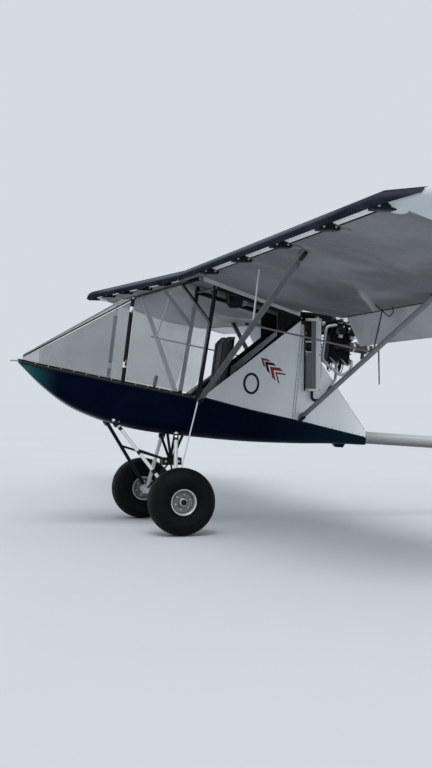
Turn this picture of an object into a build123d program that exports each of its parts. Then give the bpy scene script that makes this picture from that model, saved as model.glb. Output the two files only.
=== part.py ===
from build123d import *
import math
import os

# Strut-braced pusher microlight on tundra tyres, millimetres.
# +X points aft, +Y to starboard, +Z up, and the ground is Z = 0, as it parks on its three wheels.
# Every X below is measured from the main axle. The last step moves the origin to the middle of
# the length, on the ground.

# Wheels and gear
TYRE_OD = 550
TYRE_WIDTH = 266
RIM_OD = 214
RIM_WIDTH = 190
RIM_DISH_DEPTH = 58
RIM_HUB_R = 34
RIM_HUB_WIDTH = 130
WHEEL_Y = 667
AXLE_D = 32
AXLE_RUNNING_GAP = 0.4
AXLE_INNER_Y = 470
AXLE_END_PROUD = 8
AXLE_NUT_D = 52
AXLE_COLLAR = 12
HUB_END_GAP = 1
AXLE_Z = TYRE_OD / 2
SEAT_GAP = 0.3

# Hull stations: x, height of the rail, half width at the rail, height of the keel, half width at the keel
HULL_STATIONS = [
    (-1234, 1432, 14, 1400, 8),
    (-1046, 1386, 108, 1216, 56),
    (-845, 1345, 182, 1062, 104),
    (-688, 1311, 226, 980, 146),
    (-465, 1263, 284, 898, 190),
    (-178, 1207, 322, 828, 232),
    (245, 1125, 330, 776, 250),
    (711, 1009, 300, 732, 226),
    (1199, 909, 222, 708, 160),
    (1598, 818, 142, 700, 108),
    (1900, 752, 76, 684, 66),
]
HULL_WALL = 10
HULL_BULKHEAD = 24
CHINE_RADIUS_SHARE = 0.45

# Tail boom, a round tube that starts inside the hull
BOOM_OD = 110
BOOM_START_X = 1560
BOOM_END_X = 4556
BOOM_REF_X = 2030
BOOM_REF_Z = 742
BOOM_DROP = 0.0686
BOOM_CLEARANCE = 0.3

# Small fitting under the hull: x, z outline and half width
BELLY_FITTING = [(1590, 712), (1634, 666), (1698, 662), (1726, 706)]
BELLY_FITTING_HALF = 32

# Wing section at the plane of symmetry, x and z
NOSE_BOTTOM = (246, 2147)
NOSE_FRONT = (220, 2178)
NOSE_TOP = (256, 2205)
CREST_FRONT = (430, 2234)
CREST = (620, 2224)
AFT_TOP_MID = (1092, 2056)
WING_AFT_X = 1540
WING_AFT_TOP_Z = 1836
WING_AFT_BOTTOM_Z = 1808
KEEL_POINT = (1146, 1867)
DIHEDRAL_DEG = 1.36
WING_ROOT_Y = 334
HALF_SPAN = 4400
TIP_LENGTH = 400
WING_PANEL_Y = HALF_SPAN - TIP_LENGTH
TIP_CHORD_SHARE = 0.62
TIP_PIVOT = (900, 2185)
CENTRE_AFT_X = 1180

# Control surfaces of the wing
SURFACE_HINGE_X = 1562
SURFACE_HINGE_Z = 1822
SURFACE_NOSE_RADIUS = 13
SURFACE_CHORD = 290
SURFACE_EDGE = 8
WING_REAR_ANGLE = 15.5
FLAP_DROOP = 50
FLAP_Y = (420, 2320)
SURFACE_SPLIT = 25
AILERON_END_INSET = 15
AILERON_Y = (FLAP_Y[1] + SURFACE_SPLIT, WING_PANEL_Y - AILERON_END_INSET)
HINGE_PIN_R = 4
HINGE_BARREL_R = 8
HINGE_BARREL_LENGTH = 26
HINGE_BORE_GAP = 0.3
HINGE_END_GAP = 6
HINGE_ROOM_R = 19
HINGE_PIN_LENGTH = 90
HINGE_LEAF = 6
HINGE_INSET = 180

# Leading-edge slat and its brackets
SLAT_LOWER = (140, 2126)
SLAT_FRONT = (158, 2179)
SLAT_UPPER = (252, 2219)
SLAT_THICKNESS = 14
SLAT_LEAN = 0.7
SLAT_ROOT_Y = 30
SLAT_TIP_INSET = 200
SLAT_TIP_SHARE = 0.4
BRACKET_FIRST_Y = 672
BRACKET_PITCH = 830
BRACKET_COUNT = 5
BRACKET_WIDTH = 96
BRACKET_OUTLINE = [(172, 2128), (284, 2128), (322, 2148), (240, 2212), (168, 2180)]

# Cabin frame tubes: name, start x, start z, end x, end z, diameter
FRAME_Y = 294
FRAME_REAR_Y = 190
FRAME_BEND_X = 262
FRAME_TUBES = [
    ("mast", 236, 1050, 408, 2086, 38),
    ("front_post", -406, 1250, -325, 1940, 34),
    ("top_tube", -325, 1940, 250, 2122, 34),
    ("front_brace", 96, 2072, 352, 1750, 32),
    ("root_longeron", 402, 2050, 1216, 1812, 36),
    ("side_diagonal", 262, 1056, 1216, 1812, 40),
    ("rear_post", 1216, 1812, 1150, 860, 24),
]
GUSSET_LEG = 230
GUSSET_THICKNESS = 10
ROOF_TUBE_D = 22
CROSS_TUBE_X = [(-325, 1940), (402, 2050), (1216, 1812)]

# Windscreen and doors
RIDGE_TOP_Z = 1950
ROOF_X = (-352, 222)
ROOF_OVERHANG = 8
SCREEN_THICKNESS = 4
SCREEN_INSET = 4
DOOR_THICKNESS = 4
DOOR_GAP = 5
DOOR_HINGE_HEIGHTS = [1390, 1800]
DOOR_RING_LENGTH = 24
# Door outline as x, z: the front edge follows the post, the foot stays clear of the lift strut
DOOR_FRONT = 16
DOOR_OUTLINE = [(-300, 1944), (86, 2066), (340, 1762), (298, 1500), (250, 1290), (188, 1152)]

# Fairing behind the cabin
FAIRING_TOP = (1208, 1690)
FAIRING_TAIL = (1896, 812)
FAIRING_FOOT_X = 276
FAIRING_SEAM_TOP_Z = 1790
FAIRING_THICKNESS = 5

# Lift struts: end points at the hull and at the wing
STRUT_CHORD = 52
STRUT_THICKNESS = 24
FRONT_STRUT_FOOT = (245, 322, 1078)
FRONT_STRUT_HEAD = (404, 2370, 2172)
REAR_STRUT_FOOT = (1205, 212, 930)
REAR_STRUT_HEAD = (1423, 2370, 1902)
TIE_DOWN_SHARE = 0.93
TIE_DOWN_DROP = 36
TIE_DOWN_R = 6.5
TIE_DOWN_WIDTH = 8
JURY_D = 14
JURY_SHARES = (0.55, 0.574)
JURY_TOPS = [(435, 1300), (1520, 1220)]
JURY_OVERHANG = 58

# Landing gear: top ends at the hull, all feet at the axle block
AXLE_BLOCK = (70, 62, 70)
FRONT_LEG_TOP = (-460, 176, 930)
FRONT_LEG_D = 30
REAR_LEG_TOP = (78, 214, 815)
REAR_LEG_D = 34
APEX = (90, 0, 560)
APEX_BLOCK = (170, 104, 62)
CABANE_TOPS = [(24, 130, 812), (166, 130, 806)]
CABANE_D = 24
CROSS_STRUT_D = 16
DRAG_BRACE_SHARE = 0.38
DRAG_BRACE_D = 20
SIDE_BRACE_D = 12
SIDE_BRACE_TOP = (232, 340, 1086)

# Power unit. Its pieces lie in the frame of the thrust line: u runs aft along it, v to starboard
# and w up, from the middle of the propeller's hub.
PROP_HUB = (2050, 0, 1875)
THRUST_TILT = 8
PROP_RADIUS = 680
HUB_D = 120
HUB_LENGTH = 64
SHAFT_D = 34
SHAFT_GAP = 0.3
HUB_BOLTS = 6
HUB_BOLT_PCD = 84
HUB_BOLT_R = 4.2
BLADE_REST = -19
# Blade sections: distance from the axis, chord, thickness, angle to the disc
BLADE_SECTIONS = [(40, 66, 34, 48), (190, 104, 20, 34), (430, 96, 12, 22), (PROP_RADIUS, 58, 6, 15)]
# Boxes of the inverted twin: u from, u to, half width, w from, w to
CRANKCASE = (-495, -235, 105, -255, -95)
CYLINDERS = (-470, -260, 78, -440, -255)
HEAD = (-475, -255, 82, -505, -440)
FIN_REACH = 10
FIN_THICKNESS = 8
FIN_COUNT = 5
CRANK_W = -185
FLYWHEEL_D = 170
FLYWHEEL_DEPTH = 42
BORE_U = (-420, -310)
PLUG_D = 34
PLUG_LENGTH = 42
INTAKE_D = 50
INTAKE_LENGTH = 62
INTAKE_W = -228
GEARBOX_WIDTH = 132
GEARBOX_DEPTH = 86
GEARBOX_REACH = 64
SILENCER_U = (-330, -108)
SILENCER_D = 84
SILENCER_V = -182
EXHAUST_W = -354
HEADER_D = 42
TAILPIPE_D = 34
TAILPIPE_DROP = 92
RADIATOR_X = (1240, 1384)
RADIATOR_DEPTH = 36
RADIATOR_Z = (1172, 1812)
MOUNT_TUBE_D = 26
MOUNT_RAIL_END = (-250, 118, -118)
MOUNT_LOW_END = (-430, 70, -418)
MOUNT_LOW_Z = 1150
# Hoses: diameter and radius of each bend, and then their runs
HOSE_D = 26
LOOP_V = -150
LOOP_START = (-450, -174)
LOOP_BENDS = [30, 40, 80, 60, 50, 30]
LOOP_RUNS = [(-550, -205), (-550, -505), (-350, -622), (-262, -560), (-262, -472)]
LOW_HOSE_BENDS = [34, 46, 70, 50]
LOW_HOSE_RUNS = [(1308, -238, 1092), (1404, -226, 1092), (1545, -190, 1272), (1618, -40, 1330)]
LOW_HOSE_END = (-365, -505)
TOP_HOSE_BENDS = [26, 26]
TOP_HOSE_Z = 1776
TOP_HOSE_X = 1428

# Seat and hand controls
SEAT_PAN = (20, 500)
SEAT_PAN_Z = 936
SEAT_HALF = 200
SEAT_CUSHION = 60
SEAT_BACK_TOP = (600, 1640)
SEAT_BACK_THICKNESS = 60
TRAY_THICKNESS = 6
STICK_X = -60
STICK_TOP_Z = 1300
STICK_D = 20
PEDAL_X = -560
PEDAL_Z = 1040
PEDAL_Y = 95

# Soft pouch under the roof: x and y ranges and its foot
POUCH_X = (566, 704)
POUCH_Y = (-170, -26)
POUCH_FOOT_Z = 1888
POUCH_ROUND = 22

# Tail surfaces
TAIL_THICKNESS = 34
FIN_HALF = 17
RUDDER_HINGE_X = 4606
TAIL_END_X = 5070
TAIL_TOP_Z = 1540
TAIL_BOTTOM_Z = 400
FIN_SHOULDER = (4240, 1380)
FIN_TOP_X = 4330
FIN_START_X = 3950
FIN_BELLY = [(4300, -150), (4080, 0)]
RUDDER_FOOT_GAP = 20
# Rudder outline as x, z behind the hinge line
RUDDER_OUTLINE = [(4500, 410), (4960, 430), (TAIL_END_X, 620), (TAIL_END_X, 800), (4990, 1380),
                  (4900, TAIL_TOP_Z), (4500, TAIL_TOP_Z)]
RUDDER_HINGE_Z = (500, 980, 1440)
STAB_X = (4010, 4380)
STAB_HALF_SPAN = 1300
STAB_RISE = 92
ELEVATOR_CHORD = 340
ELEVATOR_INNER_Y = 150
STAB_TIP_INSET = 150
ELEVATOR_HINGE_SHARES = (0.3, 0.85)
TAIL_HINGE_GAP = 8
TAIL_HOLE = (4400, 470)
TAIL_HOLE_R = 8

# Tailwheel
TAILWHEEL_OD = 150
TAILWHEEL_WIDTH = 44
SWIVEL_X = 4600
SWIVEL_Z = (205, 290)
SWIVEL_D = 44
STEM_D = 20
TRAIL = 70

# Nose tube
PITOT_TIP_X = -1300
PITOT_D = 12

ORIGIN_X = (PITOT_TIP_X + TAIL_END_X) / 2
SIDES = [("left", -1), ("right", 1)]
HEADROOM = 1400


def between(values, x):
    """Linear value at x from a list of (x, value) pairs in rising x."""
    for (x0, v0), (x1, v1) in zip(values, values[1:]):
        if x <= x1:
            return v0 + (v1 - v0) * (x - x0) / (x1 - x0)
    return values[-1][1]


def rail_z(x):
    return between([(s[0], s[1]) for s in HULL_STATIONS], x)


def rail_y(x):
    return between([(s[0], s[2]) for s in HULL_STATIONS], x)


def keel_z(x):
    return between([(s[0], s[3]) for s in HULL_STATIONS], x)


def boom_z(x):
    return BOOM_REF_Z - BOOM_DROP * (x - BOOM_REF_X)


def rise(y):
    """Height that the wing gains from the plane of symmetry out to y."""
    return abs(y) * math.tan(math.radians(DIHEDRAL_DEG))


def rod(a, b, diameter):
    """Round bar from point a to point b."""
    a, b = Vector(*a), Vector(*b)
    plane = Plane(origin=a, z_dir=b - a)
    return extrude(plane * Circle(diameter / 2), amount=(b - a).length)


def streamlined(a, b, chord, thickness):
    """Flat strut from a to b with its section's long side near the X axis."""
    a, b = Vector(*a), Vector(*b)
    plane = Plane(origin=a, x_dir=Vector(1, 0, 0) - (b - a) * ((b - a).X / (b - a).length ** 2), z_dir=b - a)
    return extrude(plane * SlotOverall(chord, thickness), amount=(b - a).length)


def mirror_side(shape, side):
    """Every side piece is drawn to starboard and mirrored to port."""
    return shape if side > 0 else mirror(shape, about=Plane.XZ)


def frame_y(x):
    """The cabin's side frame stands straight ahead of the bend and closes in behind it."""
    rear_x = FRAME_TUBES[4][3]
    return FRAME_Y - max(0, x - FRAME_BEND_X) * (FRAME_Y - FRAME_REAR_Y) / (rear_x - FRAME_BEND_X)


def biggest(shape):
    """The largest solid of a shape."""
    return max(shape.solids(), key=lambda solid: solid.volume)


def trimmed(shape, *others):
    """The main stretch that is left of a piece once its neighbours are cut from it."""
    for other in others:
        for solid in other.solids():
            shape = biggest(shape - solid)
    return shape


def profile_xz(points, y0, y1):
    """Flat outline given as x, z, made solid between two y values."""
    wire = Polyline(*[(x, y0, z) for x, z in points], close=True)
    return extrude(make_face(wire), amount=y1 - y0, dir=(0, 1, 0))


def hull_section(x, z_top, half_top, z_keel, half_keel, inset):
    """U-shaped section: straight sides and round chines."""
    top, side = half_top - inset, half_keel - inset
    low = z_keel + inset
    radius = min(side, z_top - low) * CHINE_RADIUS_SHARE
    lean = (top - side) / (z_top - low)
    z_tangent = low + radius
    y_tangent = side + lean * radius
    edges = [
        Line((x, -top, z_top), (x, top, z_top)),
        Line((x, top, z_top), (x, y_tangent, z_tangent)),
        ThreePointArc((x, y_tangent, z_tangent), (x, side - 0.22 * radius, low + 0.24 * radius),
                      (x, side - radius, low)),
        Line((x, side - radius, low), (x, radius - side, low)),
        ThreePointArc((x, radius - side, low), (x, 0.22 * radius - side, low + 0.24 * radius),
                      (x, -y_tangent, z_tangent)),
        Line((x, -y_tangent, z_tangent), (x, -top, z_top)),
    ]
    return make_face(edges)


def build_hull():
    outer = loft([hull_section(*s, 0) for s in HULL_STATIONS], ruled=True)
    end_x = HULL_STATIONS[-1][0] - HULL_BULKHEAD
    end = tuple(between([(s[0], s[i]) for s in HULL_STATIONS], end_x) for i in range(1, 5))
    inner_stations = HULL_STATIONS[1:-1] + [(end_x, *end)]
    inner = loft([hull_section(x, zt + 2, ht, zk, hk, HULL_WALL) for x, zt, ht, zk, hk in inner_stations],
                 ruled=True)
    boom_hole = rod((BOOM_START_X - 200, 0, boom_z(BOOM_START_X - 200)), (BOOM_END_X, 0, boom_z(BOOM_END_X)),
                    BOOM_OD + 2 * BOOM_CLEARANCE)
    fitting = profile_xz(BELLY_FITTING, -BELLY_FITTING_HALF, BELLY_FITTING_HALF)
    return outer + fitting - inner - boom_hole


def build_boom():
    return rod((BOOM_START_X, 0, boom_z(BOOM_START_X)), (BOOM_END_X, 0, boom_z(BOOM_END_X)), BOOM_OD)


def wing_face(y, share=1.0):
    """Wing section at y, shrunk about a point behind the nose where share is below one."""
    px, pz = TIP_PIVOT

    def at(point):
        return (px + (point[0] - px) * share, y, pz + (point[1] - pz) * share + rise(y))

    aft_top = (WING_AFT_X, WING_AFT_TOP_Z)
    aft_bottom = (WING_AFT_X, WING_AFT_BOTTOM_Z)
    return make_face([
        ThreePointArc(at(NOSE_BOTTOM), at(NOSE_FRONT), at(NOSE_TOP)),
        ThreePointArc(at(NOSE_TOP), at(CREST_FRONT), at(CREST)),
        ThreePointArc(at(CREST), at(AFT_TOP_MID), at(aft_top)),
        Line(at(aft_top), at(aft_bottom)),
        Line(at(aft_bottom), at(KEEL_POINT)),
        Line(at(KEEL_POINT), at(NOSE_BOTTOM)),
    ])


def wing_low_z(x, y):
    """Height of the wing's underside."""
    return between([NOSE_BOTTOM, KEEL_POINT, (WING_AFT_X, WING_AFT_BOTTOM_Z)], x) + rise(y)


def wing_prism(y0, y1):
    """The wing section drawn out from y0 to y1 along the dihedral."""
    slope = math.tan(math.radians(DIHEDRAL_DEG))
    length = y1 - y0
    return extrude(wing_face(y0), amount=length * math.hypot(1, slope), dir=(0, 1, slope))


def surface_frame(y, angle):
    """Plane at the wing's hinge line: X runs back along the surface, Y runs out along the hinge."""
    slope = math.tan(math.radians(DIHEDRAL_DEG))
    out = Vector(0, 1, slope).normalized()
    back = Vector(math.cos(math.radians(angle)), 0, -math.sin(math.radians(angle)))
    back = (back - out * back.dot(out)).normalized()
    return Plane(origin=(SURFACE_HINGE_X, y, SURFACE_HINGE_Z + rise(y)), x_dir=back, z_dir=-out)


def wing_surface(y0, y1, angle):
    """Flap or aileron: round nose on the hinge line and a thin trailing edge."""
    plane = surface_frame(y0, angle)
    length = (y1 - y0) * math.hypot(1, math.tan(math.radians(DIHEDRAL_DEG)))
    r, edge = SURFACE_NOSE_RADIUS, SURFACE_EDGE / 2
    face = make_face([
        ThreePointArc((0, r), (-r, 0), (0, -r)),
        Line((0, -r), (SURFACE_CHORD, -edge)),
        Line((SURFACE_CHORD, -edge), (SURFACE_CHORD, edge)),
        Line((SURFACE_CHORD, edge), (0, r)),
    ])
    return extrude(plane * face, amount=-length)


def hinge(fixed, moving, at, along, leaf_to):
    """Adds a barrel, pin and leaf to the fixed piece and makes room and a bore in the moving one."""
    at, along = Vector(*at), Vector(*along).normalized()

    def cylinder(radius, length):
        start = at - along * (length / 2)
        return extrude(Plane(origin=start, z_dir=along) * Circle(radius), amount=length)

    barrel = cylinder(HINGE_BARREL_R, HINGE_BARREL_LENGTH)
    pin = cylinder(HINGE_PIN_R, HINGE_PIN_LENGTH)
    leaf_dir = Vector(*leaf_to) - at
    leaf_plane = Plane(origin=at, x_dir=along, z_dir=leaf_dir)
    leaf = extrude(leaf_plane * Rectangle(HINGE_BARREL_LENGTH, HINGE_LEAF), amount=leaf_dir.length)
    room = cylinder(HINGE_ROOM_R, HINGE_BARREL_LENGTH + 2 * HINGE_END_GAP)
    bore = cylinder(HINGE_PIN_R + HINGE_BORE_GAP, HINGE_PIN_LENGTH + 2)
    return fixed + barrel + pin + leaf, moving - room - bore


def build_wing(side):
    wing = wing_prism(WING_ROOT_Y, WING_PANEL_Y)
    flap = wing_surface(*FLAP_Y, WING_REAR_ANGLE + FLAP_DROOP)
    aileron = wing_surface(*AILERON_Y, WING_REAR_ANGLE)
    out = (0, 1, math.tan(math.radians(DIHEDRAL_DEG)))
    for span, surface in ((FLAP_Y, "flap"), (AILERON_Y, "aileron")):
        for y in (span[0] + HINGE_INSET, sum(span) / 2, span[1] - HINGE_INSET):
            at = (SURFACE_HINGE_X, y, SURFACE_HINGE_Z + rise(y))
            leaf_to = (WING_AFT_X - 8, y, SURFACE_HINGE_Z + rise(y))
            if surface == "flap":
                wing, flap = hinge(wing, flap, at, out, leaf_to)
            else:
                wing, aileron = hinge(wing, aileron, at, out, leaf_to)
    tip = loft([wing_face(WING_PANEL_Y + SEAT_GAP), wing_face(HALF_SPAN, TIP_CHORD_SHARE)], ruled=True)
    return {name: mirror_side(s, side) for name, s in
            (("wing", wing), ("flap", flap), ("aileron", aileron), ("wing_tip", tip))}


def slat_face(y, share=1.0, reach=1.0):
    """Thin crescent section of the slat, shrunk with the wing tip by share and drawn up to its top by reach."""
    px, pz = TIP_PIVOT
    t = SLAT_THICKNESS

    def at(point, inward):
        x, z = (top + (p - top) * reach for p, top in zip(point, SLAT_UPPER))
        x, z = x + inward * reach * SLAT_LEAN, z - inward * reach * SLAT_LEAN
        return (px + (x - px) * share, y, pz + (z - pz) * share + rise(y))

    return make_face([
        ThreePointArc(at(SLAT_LOWER, 0), at(SLAT_FRONT, 0), at(SLAT_UPPER, 0)),
        Line(at(SLAT_UPPER, 0), at(SLAT_UPPER, t / 3)),
        ThreePointArc(at(SLAT_UPPER, t / 3), at(SLAT_FRONT, t), at(SLAT_LOWER, t / 3)),
        Line(at(SLAT_LOWER, t / 3), at(SLAT_LOWER, 0)),
    ])


def build_slat(side):
    """Thin curved slat ahead of the nose, which follows the wing tip in."""
    slope = math.tan(math.radians(DIHEDRAL_DEG))
    length = WING_PANEL_Y - SLAT_ROOT_Y
    slat = extrude(slat_face(SLAT_ROOT_Y), amount=length * math.hypot(1, slope), dir=(0, 1, slope))
    out = (TIP_LENGTH - SLAT_TIP_INSET) / TIP_LENGTH
    end = slat_face(HALF_SPAN - SLAT_TIP_INSET, 1 - (1 - TIP_CHORD_SHARE) * out, SLAT_TIP_SHARE)
    slat = slat + loft([slat_face(WING_PANEL_Y), end], ruled=True)
    return {"slat": mirror_side(slat, side)}


def build_brackets(slat, wing):
    """Blocks that carry the slats on the wing's nose, on both sides."""
    brackets = []
    for i in range(BRACKET_COUNT):
        y = min(BRACKET_FIRST_Y + i * BRACKET_PITCH, WING_PANEL_Y - BRACKET_WIDTH / 2)
        outline = [(x, z + rise(y)) for x, z in BRACKET_OUTLINE]
        plate = trimmed(profile_xz(outline, y - BRACKET_WIDTH / 2, y + BRACKET_WIDTH / 2), slat, wing)
        brackets += [plate, mirror_side(plate, -1)]
    return Compound(children=brackets)


def build_centre():
    """Roof between the two wing roots; its aft part is open over the engine."""
    centre = extrude(wing_face(0), amount=WING_ROOT_Y - SEAT_GAP, both=True)
    aft = Pos(CENTRE_AFT_X + 500, 0, 2000) * Box(1000, 1000, 1000)
    return centre - aft


def build_frame_side(side, hull, roof):
    """All tubes of one side of the cabin, welded together."""
    frame = None
    for _, x0, z0, x1, z1, d in FRAME_TUBES:
        a, b = (x0, frame_y(x0), z0), (x1, frame_y(x1), z1)
        for piece in (rod(a, b, d), Pos(*a) * Sphere(d / 2), Pos(*b) * Sphere(d / 2)):
            frame = piece if frame is None else frame + piece
    rear_x, rear_z = FRAME_TUBES[4][3], FRAME_TUBES[4][4]
    g = GUSSET_LEG
    gusset = extrude(make_face(Polyline(
        (rear_x, frame_y(rear_x), rear_z), (rear_x - g, frame_y(rear_x - g), rear_z + 0.29 * g),
        (rear_x - g, frame_y(rear_x - g), rear_z - 0.79 * g), close=True)), amount=GUSSET_THICKNESS / 2, both=True)
    frame = frame + gusset
    for z in DOOR_HINGE_HEIGHTS:
        at, along = door_axis(z)
        post = (at.X, FRAME_Y, at.Z)
        leaf = extrude(Plane(origin=at, x_dir=along, z_dir=Vector(*post) - at)
                       * Rectangle(HINGE_BARREL_LENGTH, HINGE_LEAF), amount=(at - Vector(*post)).length)
        frame = frame + turned(at, along, HINGE_BARREL_R, 0, HINGE_BARREL_LENGTH)
        frame = frame + turned(at, along, HINGE_PIN_R, HINGE_BARREL_LENGTH / 2 + DOOR_RING_LENGTH / 2,
                               DOOR_RING_LENGTH + 4) + leaf
    return mirror_side(trimmed(frame, hull, roof), side)


def turned(at, along, radius, offset, length):
    """Round piece on an axis: its middle lies offset from the point, along the axis."""
    along = Vector(*along).normalized()
    start = Vector(*at) + along * (offset - length / 2)
    return extrude(Plane(origin=start, z_dir=along) * Circle(radius), amount=length)


def door_axis(z):
    """Point and direction of the door's hinge line at height z, beside the front post."""
    _, x0, z0, x1, z1, d = FRAME_TUBES[1]
    x = x0 + (x1 - x0) * (z - z0) / (z1 - z0)
    y = FRAME_Y + FRAME_TUBES[0][5] / 2 + DOOR_GAP + DOOR_THICKNESS / 2
    return Vector(x, y, z), Vector(x1 - x0, 0, z1 - z0).normalized()


def build_door(side):
    """Clear flat door behind the front post, hung on two pins."""
    y = door_axis(0)[0].Y
    low, high = DOOR_OUTLINE[-1][1], DOOR_OUTLINE[0][1]
    front_low, front_high = door_axis(rail_z(-400) + 10)[0], door_axis(high - 14)[0]
    outline = [(front_low.X + DOOR_FRONT, front_low.Z), (front_high.X + DOOR_FRONT, front_high.Z)] + DOOR_OUTLINE
    door = profile_xz(outline, y - DOOR_THICKNESS / 2, y + DOOR_THICKNESS / 2)
    for z in DOOR_HINGE_HEIGHTS:
        at, along = door_axis(z)
        offset = HINGE_BARREL_LENGTH / 2 + HINGE_END_GAP / 6 + DOOR_RING_LENGTH / 2
        ring = turned(at, along, HINGE_BARREL_R, offset, DOOR_RING_LENGTH)
        mid = at + along * offset
        tongue = profile_xz([(mid.X, mid.Z - 9), (mid.X + DOOR_FRONT + 12, mid.Z - 9),
                             (mid.X + DOOR_FRONT + 12, mid.Z + 9), (mid.X, mid.Z + 9)],
                            y - DOOR_THICKNESS / 2, y + DOOR_THICKNESS / 2)
        door = door + ring + tongue
        door = door - turned(at, along, HINGE_PIN_R + HINGE_BORE_GAP, offset, DOOR_RING_LENGTH + 12)
    return mirror_side(door, side)


def build_cross_tubes(frames):
    """Bars across the cabin roof, one at each frame joint."""
    bars = []
    for x, z in CROSS_TUBE_X:
        bar = rod((x, -frame_y(x), z), (x, frame_y(x), z), ROOF_TUBE_D)
        bars.append(trimmed(bar, *frames))
    return Compound(children=bars)


def screen_section(x, inset):
    """Five-sided section of the windscreen at x: rail corners, shoulders and ridge."""
    nose_x, nose_z = HULL_STATIONS[0][0], HULL_STATIONS[0][1]
    post_x, post_z = FRAME_TUBES[1][3], FRAME_TUBES[1][4]
    share = (x - nose_x) / (post_x - nose_x)
    shoulder_y = share * (FRAME_Y + 14) + 6
    shoulder_z = nose_z + share * (post_z - nose_z)
    ridge_z = nose_z + share * (RIDGE_TOP_Z - nose_z) + 10
    low_y = rail_y(x) - SCREEN_INSET
    y, z = low_y - inset, rail_z(x) + SEAT_GAP
    if inset:
        z = z - 30
    s_y, s_z, r_z = shoulder_y - inset, shoulder_z - inset * 0.5, ridge_z - inset * 1.2
    points = [(x, -y, z), (x, -s_y, s_z), (x, 0, r_z), (x, s_y, s_z), (x, y, z)]
    return make_face(Polyline(*points, close=True))


def build_windscreen(frames):
    """Clear shell with a centre ridge, from the nose to the front posts."""
    xs = [HULL_STATIONS[0][0] + 40] + [s[0] for s in HULL_STATIONS[1:5]] + [-322]
    outer = loft([screen_section(x, 0) for x in xs], ruled=True)
    inner = loft([screen_section(x, SCREEN_THICKNESS) for x in xs[1:]], ruled=True)
    _, x0, z0, x1, z1, d = FRAME_TUBES[1]
    lean = (x1 - x0) / (z1 - z0)
    back = d / 2 + 2 * SEAT_GAP
    aft = profile_xz([(x0 - back - 100 * lean, z0 - 100), (x1 - back + 110 * lean, z1 + 110), (x1 + 400, z1 + 110),
                      (x1 + 400, z0 - 100)], -600, 600)
    return trimmed(outer - inner - aft, *frames)


def build_roof_window():
    """Clear flat sheet on the two top tubes, from the windscreen back under the slat."""
    _, x0, z0, x1, z1, d = FRAME_TUBES[2]
    slope = (z1 - z0) / (x1 - x0)
    lift = (d / 2) * math.hypot(1, slope) + SEAT_GAP

    def low(x):
        return (x, z0 + slope * (x - x0) + lift)

    corners = [low(ROOF_X[0]), low(ROOF_X[1])]
    outline = corners + [(x, z + SCREEN_THICKNESS) for x, z in corners[::-1]]
    half = FRAME_Y + ROOF_OVERHANG
    return profile_xz(outline, -half, half)


def plan_wall(thickness, inset, xs):
    """Thin upright wall that follows the hull's rail in plan, to starboard."""
    outer = [(x, rail_y(x) - inset) for x in xs]
    inner = [(x, y - thickness) for x, y in outer]
    wire = Polyline(*[(x, y, 600) for x, y in outer + inner[::-1]], close=True)
    return extrude(make_face(wire), amount=HEADROOM, dir=(0, 0, 1))


def build_fairing(frames):
    """White sides behind the cabin and the sloping back between them."""
    xs = [FAIRING_FOOT_X] + [s[0] for s in HULL_STATIONS if FAIRING_FOOT_X < s[0] < FAIRING_TAIL[0]]
    xs.append(FAIRING_TAIL[0])
    rail = [(x, rail_z(x) + SEAT_GAP) for x in xs]
    outline = rail + [FAIRING_TAIL, FAIRING_TOP, (FAIRING_TOP[0], FAIRING_SEAM_TOP_Z)]
    wall = plan_wall(FAIRING_THICKNESS, 1, xs)
    side = profile_xz(outline, 0, 400) & wall
    side = biggest(side)
    slope = [FAIRING_TAIL, FAIRING_TOP, (FAIRING_TOP[0], FAIRING_TOP[1] - 8), (FAIRING_TAIL[0], FAIRING_TAIL[1] - 8)]
    room = [(x, rail_y(x) - 1 - FAIRING_THICKNESS - SEAT_GAP) for x in xs]
    plan = Polyline(*[(x, y, 600) for x, y in room], *[(x, -y, 600) for x, y in room[::-1]], close=True)
    boom = rod((BOOM_START_X, 0, boom_z(BOOM_START_X)), (BOOM_END_X, 0, boom_z(BOOM_END_X)),
               BOOM_OD + 2 * BOOM_CLEARANCE)
    back = profile_xz(slope, -400, 400) & extrude(make_face(plan), amount=HEADROOM, dir=(0, 0, 1))
    back = trimmed(back, boom, *frames)
    return {"fairing_right": side, "fairing_left": mirror_side(side, -1), "fairing_back": back}


def tie_down_ends(half):
    """Two ends of the tie-down hole's axis, half a length each way."""
    x, y, z = (f + (h - f) * TIE_DOWN_SHARE for f, h in zip(FRONT_STRUT_FOOT, FRONT_STRUT_HEAD))
    return (x, y - half, z - TIE_DOWN_DROP), (x, y + half, z - TIE_DOWN_DROP)


def tie_down_lug():
    """Flat lug under the front lift strut, with room for its hole."""
    a, b = tie_down_ends(TIE_DOWN_WIDTH / 2)
    lug = rod(a, b, 4 * TIE_DOWN_R)
    return lug + Pos(a[0], (a[1] + b[1]) / 2, a[2] + TIE_DOWN_DROP / 2) * Box(4 * TIE_DOWN_R, TIE_DOWN_WIDTH,
                                                                             TIE_DOWN_DROP)


def build_struts(side, hull, frame, fairing, wing):
    """The two lift struts of one wing."""
    front = streamlined(FRONT_STRUT_FOOT, FRONT_STRUT_HEAD, STRUT_CHORD, STRUT_THICKNESS)
    rear = streamlined(REAR_STRUT_FOOT, REAR_STRUT_HEAD, STRUT_CHORD, STRUT_THICKNESS)
    front = trimmed(mirror_side(front + tie_down_lug(), side), hull, frame, wing)
    front = front - mirror_side(rod(*tie_down_ends(20), 2 * TIE_DOWN_R), side)
    rear = trimmed(mirror_side(rear, side), hull, fairing, frame, wing)
    return {"front_strut": front, "rear_strut": rear}


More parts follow.
